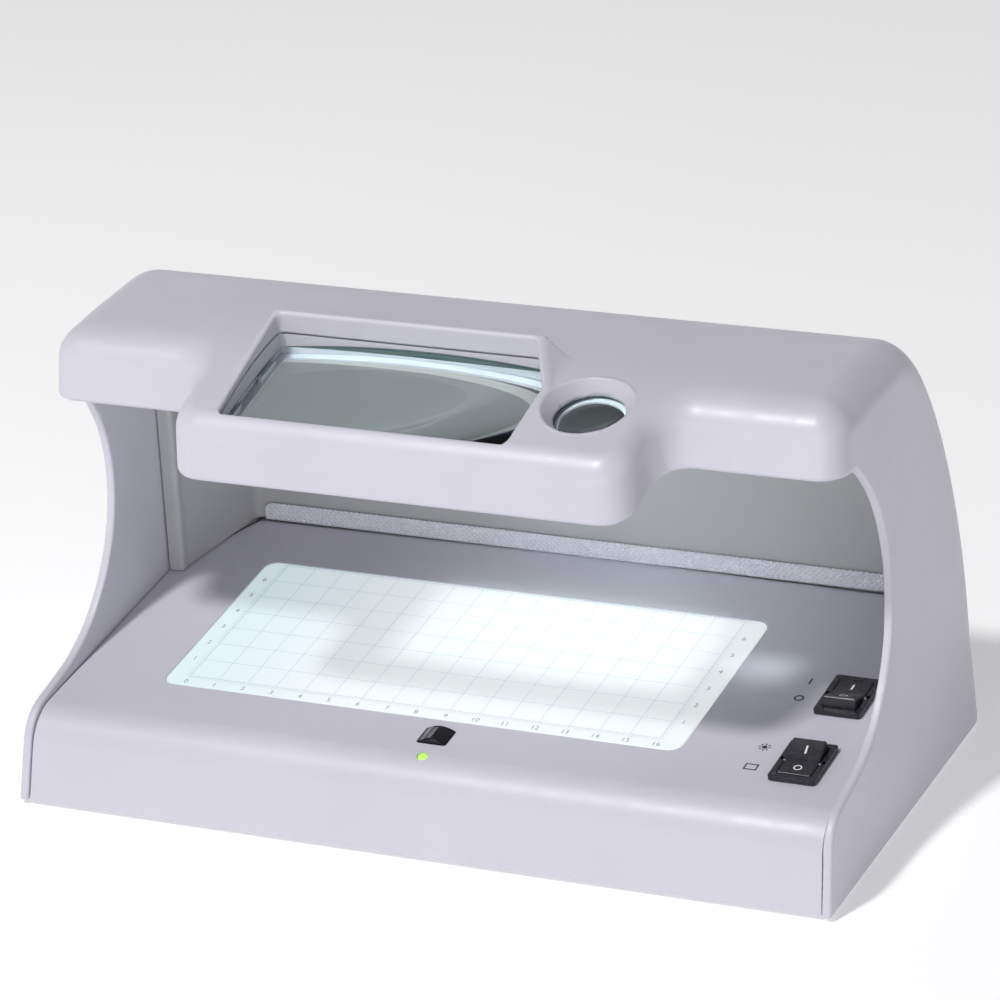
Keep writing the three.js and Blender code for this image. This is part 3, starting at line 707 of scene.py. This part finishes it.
def ruled_panel(name):
    """Opal sheet with a painted backlight glow, a centimetre grid and a millimetre scale printed round it.
    """
    shader = Shader(name, 0.3)
    split = shader.tree.nodes.new("ShaderNodeSeparateXYZ")
    shader.join(shader.place, split.inputs["Vector"])

    def both(a, b):
        return shader.math("MULTIPLY", a, b)

    def either(a, b):
        return shader.math("MAXIMUM", a, b)

    def from_edge(axis, edge):
        """Millimetres along an axis from an edge of the grid."""
        return both(shader.math("SUBTRACT", split.outputs[axis], edge * MM), 1 / MM)

    def lines(value, pitch, half):
        """1 on lines half a width either side of every pitch."""
        wave = shader.math("PINGPONG", value, pitch / 2)
        return shader.math("LESS_THAN", wave, half)

    def within(value, low, high):
        return both(shader.math("GREATER_THAN", value, low), shader.math("LESS_THAN", value, high))

    def scale_band(value, size, crossing):
        """The two strips of the scale at either end of the grid's size."""
        return either(both(within(value, -TICK_LENGTH, 0), crossing),
                      both(within(value, size, size + TICK_LENGTH), crossing))

    u, v = from_edge("X", GRID["left"]), from_edge("Y", GRID["front"])
    edge = 0.15
    across = within(u, -edge, GRID["long"] + edge)
    along = within(v, -edge, GRID["deep"] + edge)
    grid = either(both(lines(u, 10, GRID_LINE), along), both(lines(v, 10, GRID_LINE), across))
    grid = both(grid, both(across, along))
    ticks = either(both(lines(u, 1, TICK_LINE), scale_band(v, GRID["deep"], across)),
                   both(lines(v, 1, TICK_LINE), scale_band(u, GRID["long"], along)))
    ink = both(either(grid, ticks), PRINT_DENSITY)
    cool, warm = (0.37, 0.44, 0.455), (0.44, 0.46, 0.467)
    sheet = shader.ramp(shader.math("DIVIDE", u, GRID["long"]), (0.0, cool), (0.35, warm))
    paint = shader.tree.nodes.new("ShaderNodeMix")
    paint.data_type = "RGBA"
    paper, print_colour = [socket for socket in paint.inputs if socket.type == "RGBA"]
    shader.join(ink, paint.inputs["Factor"])
    shader.join(sheet, paper)
    print_colour.default_value = (0.12, 0.15, 0.2, 1)
    colour = next(out for out in paint.outputs if out.type == "RGBA")
    shader.join(colour, shader.main.inputs["Base Color"])
    # Painted light: the sheet glows as if lit from beneath by the lamp. The glow takes the sheet's colour,
    # so it is dimmer and cooler towards the left.
    shader.join(colour, shader.main.inputs["Emission Color"])
    shader.main.inputs["Emission Strength"].default_value = 1.2
    return shader.material


SHELL = (0.595, 0.58, 0.655)
FINISH.update({
    "shell_plastic": moulded("shell_plastic", SHELL, 0.4),
    "liner_plastic": moulded("liner_plastic", (0.44, 0.44, 0.45), 0.45),
    "strip_plastic": moulded("strip_plastic", (0.74, 0.74, 0.82), 0.25, 0.4, 0.003),
    "opal_panel": ruled_panel("opal_panel"),
    "lens_glass": clear_glass("lens_glass", (0.86, 0.93, 0.92), (0.8, 0.9, 0.88)),
    "black_plastic": moulded("black_plastic", (0.018, 0.016, 0.022), 0.28, 0.5, 0.008, 0.2),
    "head_chrome": metal("head_chrome", (0.05, 0.05, 0.055), 0.2, (1, 12, 12)),
    "steel": metal("steel", (0.52, 0.53, 0.55), 0.3, (20, 1, 1)),
    "brass": metal("brass", (0.66, 0.46, 0.17), 0.26, (1, 1, 14)),
    "led_lens": lamp_glass("led_lens", (0.35, 0.85, 0.1), (0.42, 0.85, 0.12), 0.85),
    "rubber": moulded("rubber", (0.02, 0.02, 0.021), 0.8, 0.3, 0.03, 0.15),
    "white_plastic": moulded("white_plastic", (0.78, 0.78, 0.75), 0.45, 0.6, 0.015),
    "uv_glass": lamp_glass("uv_glass", (0.1, 0.07, 0.3), (0.12, 0.05, 0.6), 0.05),
    "lamp_glass": lamp_glass("lamp_glass", (0.85, 0.85, 0.82), (1.0, 0.98, 0.95), 0.2),
    "circuit_board": moulded("circuit_board", (0.02, 0.13, 0.05), 0.3, 1.2, 0.02, 0.3),
    "ferrite": moulded("ferrite", (0.03, 0.03, 0.032), 0.55, 0.4, 0.03, 0.2),
    "sleeve": moulded("sleeve", (0.02, 0.035, 0.12), 0.25, 2, 0.01, 0.1),
})
INK = moulded("print_ink", (0.03, 0.03, 0.035), 0.5, 0.3, 0.004)
WHITE_INK = moulded("white_ink", (0.8, 0.8, 0.82), 0.5, 0.3, 0.004)
PALE_INK = moulded("pale_ink", (0.3, 0.36, 0.42), 0.5, 0.3, 0.004)
LENS_EDGE = moulded("lens_edge", (0.02, 0.085, 0.085), 0.4, 0.3, 0.01, 0.2)
CAP_METAL = metal("cap_metal", (0.6, 0.6, 0.6), 0.25, (1, 8, 8))
SOLDER = metal("solder", (0.6, 0.6, 0.58), 0.3, (1, 1, 1))

for node_name, node_object in frame["nodes"].items():
    node_object.data.materials.clear()
    node_object.data.materials.append(FINISH[SLOT_OF[node_name]])

# ---- upper shell ----

SHELL_LOW = (-138, -75, -1)
SHELL_HIGH = (138, 75, 151)
SHELL_STEP = 0.85
SHELL_FACES = 180000


def upper_shell():
    field = shell_field()
    grid = sampled(field, SHELL_LOW, SHELL_HIGH, SHELL_STEP)
    points, quads = surface_net(grid, SHELL_LOW, SHELL_STEP)
    points = onto_surface(field, points, 3)
    mesh = bpy.data.meshes.new("fine_upper_shell")
    mesh.from_pydata((points * MM).tolist(), [], quads.tolist())
    obj = link("fine_upper_shell", mesh)
    thin = obj.modifiers.new("thin", "DECIMATE")
    thin.ratio = min(1, SHELL_FACES / (2 * len(quads)))
    applied(obj)
    mesh = obj.data
    flat = np.empty(len(mesh.vertices) * 3)
    mesh.vertices.foreach_get("co", flat)
    points = onto_surface(field, flat.reshape(-1, 3) / MM, 1)
    mesh.vertices.foreach_set("co", (points * MM).ravel())
    mesh.shade_smooth()
    slope = gradient(field, points, 0.12)
    slope /= np.maximum(np.linalg.norm(slope, axis=1, keepdims=True), 1e-6)
    mesh.normals_split_custom_set_from_vertices(slope.tolist())
    settle(obj, "upper_shell")


upper_shell()

# ---- base: tray, cover, liner, strip ----


def base_tray():
    rear_top = deck_top(TRAY_REAR)
    outline = base_front(0) + [(TRAY_REAR, rear_top), (TRAY_REAR, rear_top - DECK_WALL)]
    outline += base_front(DECK_WALL)[::-1]
    tray = link("fine_base_tray", mesh_of("fine_base_tray", *prism(outline, -TRAY_HALF, TRAY_HALF, "x")))
    corner = FOOT_CORNER - WALL
    plan = rounded([(-TRAY_HALF, -80), (TRAY_HALF, -80), (TRAY_HALF, TRAY_REAR, corner),
                    (-TRAY_HALF, TRAY_REAR, corner)])
    carved(tray, "INTERSECT", prism(plan, 0, 60))
    for vertex in tray.data.vertices:
        vertex.co.x *= side_scale(vertex.co.z / MM)
    slot = 0.3
    left, right, front, rear = (PANEL[k] for k in ("left", "right", "front", "rear"))
    recess = prism(rounded_box(left - slot, right + slot, front - slot, rear + slot, 4.3), -SEAT, 3)
    tilt = place(0, 0, DECK_HEIGHT, DECK_TILT)
    cutters = [moved(recess, tilt)]
    for y in SWITCH_Y.values():
        cutters.append(moved(block(SWITCH_X - 6.8, SWITCH_X + 6.8, y - 9.8, y + 9.8, -9, 9), tilt))
    cutters.append(prism(rounded_box(HEAD[0] - 5, HEAD[0] + 5, HEAD[1] - 4.45, HEAD[1] + 4.45, 0.8), 10, 60))
    cutters.append(prism(circle(*LED, 1.9, 48), 10, 60))
    carved(tray, "DIFFERENCE", *cutters)
    opening = rounded_box(left + 2, right - 2, front + 3, rear - 2, 3)
    carved(tray, "DIFFERENCE", prism(opening, 10, 60))
    soften(tray.data, 30)
    settle(bevelled(tray, 0.35, 3), "base_tray")


def rear_liner():
    top, thick = HOOD_LIP + 1.8, 1.2
    foot = deck_top(66) + GAP
    column_front = 28.5
    back = back_curve(WALL + GAP)[::-1]
    heights, depths = [z for y, z in back], [y for y, z in back]

    def path(z, inset):
        """Plan of one face of the liner at height z, from the left column to the right one."""
        scale = side_scale(z)
        edge = 132.5 * scale
        column = edge - inset * 4.2 * scale
        shoulder = 31.2 + inset
        low_x, low_y = (119.6 - inset) * scale, 72 - inset
        rear = np.interp(z, heights[::-1], depths[::-1]) - inset
        share = (rear - shoulder) / (low_y - shoulder)
        bend = column + (low_x - column) * share
        lip = 1.6 if inset else 0
        corners = [(column, column_front, lip), (column, shoulder, 3), (bend, rear, 5 - inset)]
        corners += [(-a, b, r) for a, b, r in reversed(corners)]
        return rounded([(edge, column_front)] + corners + [(-edge, column_front)], 8)[1:-1]

    rows = 60
    loops = []
    for t in np.linspace(0, 1, rows + 1):
        nominal = foot + (top - foot) * t
        loop = path(nominal, 0) + path(nominal, thick)[::-1]
        loops.append([(x, y, (deck_top(y) + GAP) * (1 - t) + top * t) for x, y in loop])
    n = len(loops[0])
    vertices = [spot for loop in loops for spot in loop]
    faces = [(r * n + i, r * n + (i + 1) % n, (r + 1) * n + (i + 1) % n, (r + 1) * n + i)
             for r in range(rows) for i in range(n)]
    half = n // 2
    for base, turn in ((0, 1), (rows * n, -1)):
        for i in range(half - 1):
            outer_and_inner = (base + i, base + n - 1 - i, base + n - 2 - i, base + i + 1)
            faces.append(outer_and_inner[::turn])
    piece("rear_liner", (vertices, faces), crease=50)


STRIP = {"half": 114.5, "face": 65.55, "thick": 1, "tall": 5.9}


def rear_strip():
    """A slab whose face is worked into rows of small diamonds."""
    half, face, thick, tall = (STRIP[k] for k in ("half", "face", "thick", "tall"))
    foot = deck_top(face) + GAP
    relief = 0.5
    outline = rounded([(half, foot), (half, foot + tall, 3), (-half, foot + tall, 3), (-half, foot)], 8)
    slab = prism(outline, face + relief, face + thick, "y")
    diamonds = []
    pitch = 1.9
    for row in range(6):
        z = foot + 0.75 + row * pitch / 2
        shift = pitch / 2 if row % 2 else 0
        for k in range(int(2 * (half - 2.4) / pitch)):
            x = -half + 2.4 + shift + k * pitch
            ring = [(x - pitch / 2, face + relief, z), (x, face + relief, z - pitch / 2 + 0.05),
                    (x + pitch / 2, face + relief, z), (x, face + relief, z + pitch / 2 - 0.05)]
            diamonds.append((ring + [(x, face + 0.02, z)], [(0, 1, 4), (1, 2, 4), (2, 3, 4), (3, 0, 4)]))
    name = "fine_rear_strip"
    obj = link(name, mesh_of(name, *together(slab, *diamonds), crease=15))
    settle(obj, "rear_strip")


base_tray()
refined("bottom_cover", 0.3)
rear_liner()
rear_strip()

# ---- lamps ----


def tube_lamp(node, matrix, half, radius):
    """Glass with domed ends, and its metal caps and pins in a piece for each end."""
    ends = rounded([(0, -half + 3), (radius, -half + 3, 2.5), (radius, half - 3, 2.5), (0, half - 3)], 8)
    pin = lathe([(0, half - 1), (1.1, half - 1), (1.1, half + 5.4), (0.7, half + 6), (0, half + 6)], 24)
    rim = radius + 0.4
    cap = lathe([(radius + 0.05, half - 6), (rim - 0.15, half - 6), (rim, half - 5.8), (rim, half - 1.2),
                 (rim - 0.9, half - 0.1), (rim - 1.3, half), (0, half)])
    piece(node, lathe(ends), matrix @ ALONG_X)
    for side in (-1, 1):
        turn = matrix @ Matrix.Rotation(math.pi / 2 * side, 4, "Y")
        pins = [moved(pin, Matrix.Translation((x, 0, 0))) for x in (-2.4, 2.4)]
        name = f"{node}_cap_{'left' if side < 0 else 'right'}"
        piece(node, together(cap, *pins), turn, finish=CAP_METAL, name=name)


UV = place(0, 16, 131)
BACK = place(-13, 3, 17)
tube_lamp("uv_tube", UV, 102, 7.6)
tube_lamp("white_tube", BACK, 68, 7)
for lamp in ("uv", "white"):
    for end in ("left", "right"):
        refined(f"{lamp}_tube_holder_{end}", 0.5, 3)
refined("uv_reflector", 0.15, 1)
refined("lamp_cover", 0.4)
refined("light_tray", 0.4)

# ---- magnifiers ----

LENS_PLACE = place(*LENS, LENS_TILT)


def ground(lens, matrix):
    """Gives the lens's side faces the dull sea-green of ground glass edges."""
    axis = matrix.to_3x3() @ Vector((0, 0, 1))
    lens.data.materials.append(LENS_EDGE)
    for face in lens.data.polygons:
        if abs(face.normal.dot(axis)) < 0.5:
            face.material_index = 1


def magnifier_lens():
    """A plate with two spherical faces and ground edges."""
    sphere, rise, half = 380, 4.25, (49, 24)
    columns, rows, chamfer = 56, 28, 0.35

    def height(x, y):
        return rise - sphere + math.sqrt(sphere * sphere - x * x - y * y)

    xs = [half[0] * (2 * i / columns - 1) for i in range(columns + 1)]
    ys = [half[1] * (2 * j / rows - 1) for j in range(rows + 1)]
    xs = [math.copysign(min(abs(x), half[0] - chamfer), x) for x in xs]
    ys = [math.copysign(min(abs(y), half[1] - chamfer), y) for y in ys]
    vertices = [(x, y, s * height(x, y)) for s in (1, -1) for x in xs for y in ys]
    n = (columns + 1) * (rows + 1)

    def at(i, j):
        return i * (rows + 1) + j

    faces = []
    for i in range(columns):
        for j in range(rows):
            quad = (at(i, j), at(i + 1, j), at(i + 1, j + 1), at(i, j + 1))
            faces += [quad, tuple(n + k for k in quad[::-1])]
    border = [at(i, 0) for i in range(columns)] + [at(columns, j) for j in range(rows)]
    border += [at(i, rows) for i in range(columns, 0, -1)] + [at(0, j) for j in range(rows, 0, -1)]
    rims = []
    for s in (1, -1):
        start = len(vertices)
        for k in border:
            x, y, z = vertices[k]
            outward = (math.copysign(half[0], x) if abs(x) > half[0] - 2 * chamfer else x,
                       math.copysign(half[1], y) if abs(y) > half[1] - 2 * chamfer else y)
            vertices.append((*outward, s * (z - chamfer)))
        rims.append(start)
    count = len(border)
    for k in range(count):
        m = (k + 1) % count
        faces.append((border[k], border[m], rims[0] + m, rims[0] + k))
        faces.append((rims[0] + k, rims[0] + m, rims[1] + m, rims[1] + k))
        faces.append((rims[1] + k, rims[1] + m, n + border[m], n + border[k]))
    ground(piece("magnifier_lens", (vertices, faces), LENS_PLACE, crease=25), LENS_PLACE)


magnifier_lens()
refined("lens_frame", 0.25)
refined("lens_retainer", 0.25)

LOUPE_PLACE = place(*LOUPE, LOUPE_HEIGHT, LOUPE_TILT)


def round_lens():
    """A thin double-convex lens and the ring that holds it up."""
    radius, middle, edge, bulge = 11.5, -6.55, 0.75, 0.9
    chord = [(radius * t, bulge * (1 - t * t)) for t in np.linspace(0, 1, 15)]
    below = [(r, middle - edge - h) for r, h in chord]
    above = [(r, middle + edge + h) for r, h in reversed(chord)]
    ground(piece("round_lens", lathe(below + above, 96), LOUPE_PLACE, crease=25), LOUPE_PLACE)
    ring = rounded([(9.8, -9.4, 0.25), (11.5, -9.4, 0.2), (11.5, -7.9, 0.2), (9.8, -7.9, 0.4)], 4)
    piece("round_lens_ring", lathe(ring + ring[:1], 96), LOUPE_PLACE)


round_lens()

# ---- panel with painted backlight, and its printed scale ----

FACE = -SEAT + 0.3 + PANEL["thick"]  # the panel's upper face above the deck's line


def viewing_panel():
    long = (PANEL["right"] - PANEL["left"]) / 2
    deep = (PANEL["rear"] - PANEL["front"]) / 2 / math.cos(DECK_TILT) - 0.2
    middle = on_deck((PANEL["left"] + PANEL["right"]) / 2, (PANEL["front"] + PANEL["rear"]) / 2)
    sheet = prism(rounded_box(-long, long, -deep, deep, 4), FACE - PANEL["thick"], FACE)
    piece("viewing_panel", sheet, middle, bevel=0.25)


def number_mesh(label, size):
    """Vertices and faces of a number standing in the plane z = 0, centred on the origin."""
    curve = bpy.data.curves.new("number", "FONT")
    curve.body = label
    curve.size = size
    curve.align_x = "CENTER"
    curve.align_y = "CENTER"
    curve.extrude = 0.012
    curve.resolution_u = 3
    holder = link("number", curve)
    mesh = bpy.data.meshes.new_from_object(holder.evaluated_get(bpy.context.evaluated_depsgraph_get()))
    solid = [tuple(v.co) for v in mesh.vertices], [tuple(p.vertices) for p in mesh.polygons]
    bpy.data.objects.remove(holder)
    return solid


def ruler_numbers():
    """Numbers 0 to 16 along the front of the grid and 1 to 6 at both its sides."""
    marks = [(str(k), GRID["left"] + 10 * k, GRID["front"] - 3.4) for k in range(17)]
    for k in range(1, 7):
        for x in (GRID["left"] - 3.6, GRID["left"] + GRID["long"] + 3.6):
            marks.append((str(k), x, GRID["front"] + 10 * k))
    solids = []
    for label, x, y in marks:
        spot = on_deck(x, y) @ place(0, 0, FACE + 0.015)
        solids.append(moved(number_mesh(label, 2.9), spot))
    piece("viewing_panel", together(*solids), finish=PALE_INK, name="ruler_numbers")


viewing_panel()
ruler_numbers()

# ---- switches, head, indicator ----

BEZEL_TOP = 1.7
PIVOT = BEZEL_TOP - 1
ROCKER_REACH = 8.08


def ring_mark(radius, width, low, high):
    n = 40
    outer, inner = circle(0, 0, radius, n), circle(0, 0, radius - width, n)
    vertices = [(x, y, z) for z in (low, high) for ring in (outer, inner) for x, y in ring]
    faces = []
    for k in range(n):
        m = (k + 1) % n
        faces += [(k, m, 2 * n + m, 2 * n + k), (n + m, n + k, 3 * n + k, 3 * n + m),
                  (2 * n + k, 2 * n + m, 3 * n + m, 3 * n + k), (m, k, n + k, n + m)]
    return vertices, faces


def switch_housing(name, seat):
    bezel = prism(rounded_box(-7.5, 7.5, -10.5, 10.5, 0.9), 0.3, BEZEL_TOP)
    body = link("fine_" + name, mesh_of(name, *bezel))
    carved(body, "UNION", block(-6.4, 6.4, -9.4, 9.4, -12.7, 1))
    carved(body, "DIFFERENCE", prism(rounded_box(-5.6, 5.6, -8.35, 8.35, 0.6), BEZEL_TOP - 6.5, 5),
           *[block(-2.8, 2.8, y - 0.8, y + 0.8, -14, -10.5) for y in (-5, 5)])
    pin_hole = lathe([(0, -7), (1.35, -7), (1.35, 7), (0, 7)], 32)
    carved(body, "DIFFERENCE", moved(pin_hole, place(0, 0, PIVOT) @ ALONG_X))
    settle(bevelled(placed(body, seat, 30), 0.3, 3), name)


def rocker(name, seat, rest):
    """Two slightly hollowed faces that meet at a ridge over the pivot."""
    tip, ridge, hollow = 0.37, 1.33, 0.175
    end = (ROCKER_REACH * math.cos(tip), ROCKER_REACH * math.sin(tip))
    face = [(end[0] * t, ridge + (end[1] - ridge) * t - hollow * math.sin(math.pi * t))
            for t in np.linspace(0, 1, 9)[1:-1]]
    right = [(0, ridge)] + face + arc(0, 0, ROCKER_REACH, tip, tip - 0.62, 12) + [(6.5, -3.5)]
    outline = [(-y, z) for y, z in right[:0:-1]] + right
    swing = seat @ place(0, 0, PIVOT, rest)
    solid = link("fine_" + name, mesh_of(name, *prism(outline, -5.3, 5.3, "x"), swing, 30))
    solid.data.materials.clear()
    settle(bevelled(solid, 0.45, 3, 30), name)
    trunnions = [moved(lathe([(0, 5.25), (1.2, 5.25), (1.2, 6.0), (1.0, 6.2), (0, 6.2)], 32),
                       Matrix.Rotation(math.pi / 2 * s, 4, "Y")) for s in (-1, 1)]
    piece(name, together(*trunnions), swing, name=name + "_trunnions")
    slope = math.atan2(end[1] - ridge, end[0])
    out, up = end[0] * 0.52, ridge + (end[1] - ridge) * 0.52 - 0.19
    low, high = -0.15, 0.05
    bar = prism(rounded_box(-0.28, 0.28, -1.55, 1.55, 0.1, 3), low, high)
    ring = ring_mark(1.35, 0.42, low, high)
    for sign, side, mark in ((bar, 1, "on"), (ring, -1, "off")):
        spot = swing @ place(0, side * out, up, side * slope)
        piece(name, moved(sign, spot), finish=WHITE_INK, name=f"{name}_mark_{mark}")


for kind, rest in (("power", -ROCK), ("mode", ROCK)):
    seat = on_deck(SWITCH_X, SWITCH_Y[kind])
    switch_housing(kind + "_switch_housing", seat)
    rocker(kind + "_rocker", seat, rest)
    for number in (1, 2):
        refined(f"{kind}_terminal_{number}", 0.15)


def printed_signs():
    """Plain signs beside the switches: a line and a ring, a lamp with rays, a lit sheet."""
    low, high = 0.0, 0.05
    line = prism(rounded_box(-0.3, 0.3, -1.6, 1.6, 0.12, 3), low, high)
    ring = ring_mark(1.6, 0.55, low, high)
    disc = prism(circle(0, 0, 0.85, 32), low, high)
    ray = block(-0.2, 0.2, 1.25, 2.0, low, high)
    rays = [moved(ray, Matrix.Rotation(k * math.pi / 4, 4, "Z")) for k in range(8)]
    bars = [block(-2.1, 2.1, y - 0.22, y + 0.22, low, high) for y in (-1.4, 1.4)]
    posts = [block(x - 0.22, x + 0.22, -1.18, 1.18, low, high) for x in (-1.88, 1.88)]
    spots = [(11.0, [line]), (1.0, [ring]), (-27.6, [disc, *rays]), (-38.8, bars + posts)]
    solids = [moved(together(*solid), on_deck(99.4, y) @ place(0, 0, 0.005)) for y, solid in spots]
    piece("base_tray", together(*solids), finish=INK, name="switch_signs")


printed_signs()


def magnetic_head():
    """A dark block with an arched top, a bright sensing strip and a narrow one beside it."""
    spot = on_deck(*HEAD)
    half, deep, crown = 4.7, 4.15, 1.4
    radius = (half**2 + crown**2) / (2 * crown)
    start = math.acos(half / radius)
    outline = [(-half, -10), (half, -10)] + arc(0, crown - radius, radius, start, math.pi - start, 40)
    piece("magnetic_head", prism(outline, -deep, deep, "y"), spot, bevel=0.3, segments=3)

    def strip(name, low, high, inset, finish, lift=0.02):
        """A thin curved sheet on the top, from low to high across it."""
        angles = [math.acos(x / radius) for x in (high, low)]
        above = arc(0, crown - radius, radius + lift, *angles, 6)
        below = arc(0, crown - radius, radius - 0.1, *angles, 6)[::-1]
        sheet = prism(above + below, inset - deep, deep - inset, "y")
        piece("magnetic_head", sheet, spot, finish=finish, name=name)

    strip("head_sensing_strip", -1.9, -0.5, 1.0, FINISH["steel"])
    strip("head_side_strip", -3.9, -2.3, 0.5, FINISH["steel"])
    strip("head_gap_line", -1.26, -1.14, 1.1, INK, lift=0.04)


magnetic_head()
refined("head_bracket", 0.2)


def indicator():
    radius, foot, shoulder = 1.5, 20.5, 27.0
    angles = np.linspace(0.1, math.pi / 2, 14)
    dome = [(radius * math.cos(a), shoulder + radius * math.sin(a)) for a in angles]
    profile = [(0, foot), (radius, foot), (radius, shoulder)] + dome[:-1] + [(0, shoulder + radius)]
    leads = [block(x - 0.25, x + 0.25, -0.25, 0.25, 10, foot + 0.1) for x in (-0.8, 0.8)]
    piece("indicator_led", lathe(profile, 48), place(*LED, 0), crease=50)
    piece("indicator_led", together(*leads), place(*LED, 0), finish=SOLDER, name="led_leads")


indicator()

# ---- boards and inlet ----


def board(node, x0, x1, y0, y1, z0, z1, parts):
    """A board with rows of small parts soldered to it; parts lists (x, y, long, deep, tall)."""
    piece(node, block(x0, x1, y0, y1, z0, z1), bevel=0.15)
    bodies = [block(x - a / 2, x + a / 2, y - b / 2, y + b / 2, z1, z1 + h) for x, y, a, b, h in parts]
    joints = [block(x + s * a / 2 - 0.3, x + s * a / 2 + 0.3, y - 0.5, y + 0.5, z1, z1 + 0.4)
              for x, y, a, b, h in parts for s in (-1, 1)]
    piece(node, together(*bodies), bevel=0.15, finish=FINISH["ferrite"], name=node + "_parts")
    piece(node, together(*joints), finish=SOLDER, name=node + "_joints")


board("ballast_board", -22, 62, 46, 64, 7.5, 9.1,
      [(-12, 60.5, 6, 2.4, 2.2), (3, 60.5, 6, 2.4, 2.2), (20, 60, 4, 3, 3),
       (58, 60, 3, 4, 3), (20, 50, 5, 2, 2)])
board("amplifier_board", -30, 30, -60, -43, 8, 9.6,
      [(-20, -56, 5, 3, 1.6), (-10, -56, 5, 3, 1.6), (8, -46, 4, 2, 1.4), (0, -56, 3, 2, 1.4)])
refined("transformer", 0.5, 3)


def capacitor(node, x, y, radius, top):
    profile = rounded([(0, 9.4), (radius - 0.2, 9.4, 0.4), (radius, 10.8, 0.4), (radius, top, 0.8),
                       (radius - 1.1, top), (radius - 1.3, top - 0.4), (0, top - 0.4)], 5)
    piece(node, lathe(profile, 48), place(x, y, 0))


capacitor("capacitor_1", 12, 55, 5, 25)
capacitor("capacitor_2", -4, 55, 4, 21)
sounder = rounded([(0, 9.9), (5.5, 9.9, 0.4), (5.5, 16.5, 0.8), (1.2, 16.5, 0.3), (1.2, 15.5), (0, 15.5)], 5)
piece("buzzer", lathe(sounder, 64), place(19, -51, 0))
refined("mains_inlet", 0.35, 2)

# ---- feet and screws ----

FOOT_SPOTS = [(-100, -56), (100, -56), (-98, 56), (98, 56)]
COVER_SCREW_SPOTS = [(-118, -50), (118, -50), (-114, 50), (114, 50)]
HOOD_SCREW_SPOTS = [(side * HOOD_SCREW_X, y) for y, _ in HOOD_SCREWS for side in (-1, 1)]


def screw(node, matrix, length):
    """A cross-head screw, head down, with a turned thread along its shank."""
    profile = [(0, 0), (2.3, 0), (2.9, 0.25), (3.2, 0.6), (3.2, 1.4), (1.4, 1.4)]
    turns = int((length - 3) / 0.7)
    for k in range(turns):
        z = 2 + 0.7 * k
        profile += [(1.15, z), (1.4, z + 0.35)]
    profile += [(1.1, length - 0.7), (0, length)]
    obj = link("fine_" + node, mesh_of(node, *lathe(profile, 32)))
    carved(obj, "DIFFERENCE", block(-2, 2, -0.35, 0.35, -1, 0.6))
    carved(obj, "DIFFERENCE", block(-0.35, 0.35, -2, 2, -1, 0.6))
    settle(placed(obj, matrix), node)


for number, (x, y) in enumerate(FOOT_SPOTS, 1):
    sole = rounded([(0, 0.35), (4.4, 0.35), (4.9, 0), (6.2, 0, 0.2), (7, 0.8, 0.5), (7, 2), (0, 2)], 5)
    piece(f"foot_{number}", lathe(sole), place(x, y, 0))
for number, (x, y) in enumerate(COVER_SCREW_SPOTS, 1):
    screw(f"cover_screw_{number}", place(x, y, 0.6), 13)
for number, (x, y) in enumerate(HOOD_SCREW_SPOTS, 1):
    screw(f"hood_screw_{number}", place(x, y, 123), 8)

# ---- floor, light and camera ----


def floor():
    half = 6000
    corners = [(-half, -half, 0), (half, -half, 0), (half, half, 0), (-half, half, 0)]
    mesh = mesh_of("floor", corners, [(0, 1, 2, 3)])
    shader = Shader("floor", 0.7)
    shader.join(shader.ramp(shader.noise(900, 2), (0.3, (0.87, 0.87, 0.88)), (0.7, (0.89, 0.89, 0.9))),
                shader.main.inputs["Base Color"])
    shader.main.inputs["Emission Color"].default_value = (1, 1, 1, 1)
    shader.main.inputs["Emission Strength"].default_value = 0.33
    mesh.materials.append(shader.material)
    link("floor", mesh)


def softbox(name, direction, distance, size, power):
    """A square lamp that looks at the object's middle from a direction; distances in metres."""
    data = bpy.data.lights.new(name, "AREA")
    data.shape = "RECTANGLE"
    data.size, data.size_y = size
    data.energy = power
    lamp = link(name, data)
    aim = Vector((0, 0, 0.07))
    toward = Vector(direction).normalized()
    lamp.location = aim + toward * distance
    lamp.rotation_euler = toward.to_track_quat("Z", "Y").to_euler()


def surroundings(horizon, zenith):
    """A studio that is bright all round at the height of the table and dark overhead."""
    world = bpy.data.worlds.new("studio")
    bpy.context.scene.world = world
    world.use_nodes = True
    tree = world.node_tree
    background = tree.nodes["Background"]
    background.inputs["Color"].default_value = (0.97, 0.98, 1.0, 1)
    direction = tree.nodes.new("ShaderNodeSeparateXYZ")
    tree.links.new(tree.nodes.new("ShaderNodeTexCoord").outputs["Generated"], direction.inputs["Vector"])

    level = math_node(tree, "SUBTRACT", 1, direction.outputs["Z"], clamp=True)
    fall = math_node(tree, "POWER", level, 2)
    strength = math_node(tree, "ADD", math_node(tree, "MULTIPLY", fall, horizon), zenith)
    tree.links.new(strength, background.inputs["Strength"])


def camera():
    data = bpy.data.cameras.new("camera")
    data.lens = 182.04
    data.sensor_width = 36
    data.clip_end = 50
    obj = link("camera", data)
    turn = Matrix(((0.90793, -0.1038, 0.40606), (0.41082, 0.4123, -0.81319), (-0.08299, 0.9051, 0.41695)))
    obj.matrix_world = Matrix.Translation(Vector((633.56, -1258.59, 733.91)) * MM) @ turn.to_4x4()
    bpy.context.scene.camera = obj


floor()
softbox("key", (-0.22, -0.445, 0.87), 1.6, (0.15, 0.15), 16.4)
softbox("front", (0.25, -0.95, 0.16), 1.8, (1.2, 0.7), 4.8)
surroundings(0.9, 0.05)
camera()
bpy.context.scene.view_settings.view_transform = "Standard"
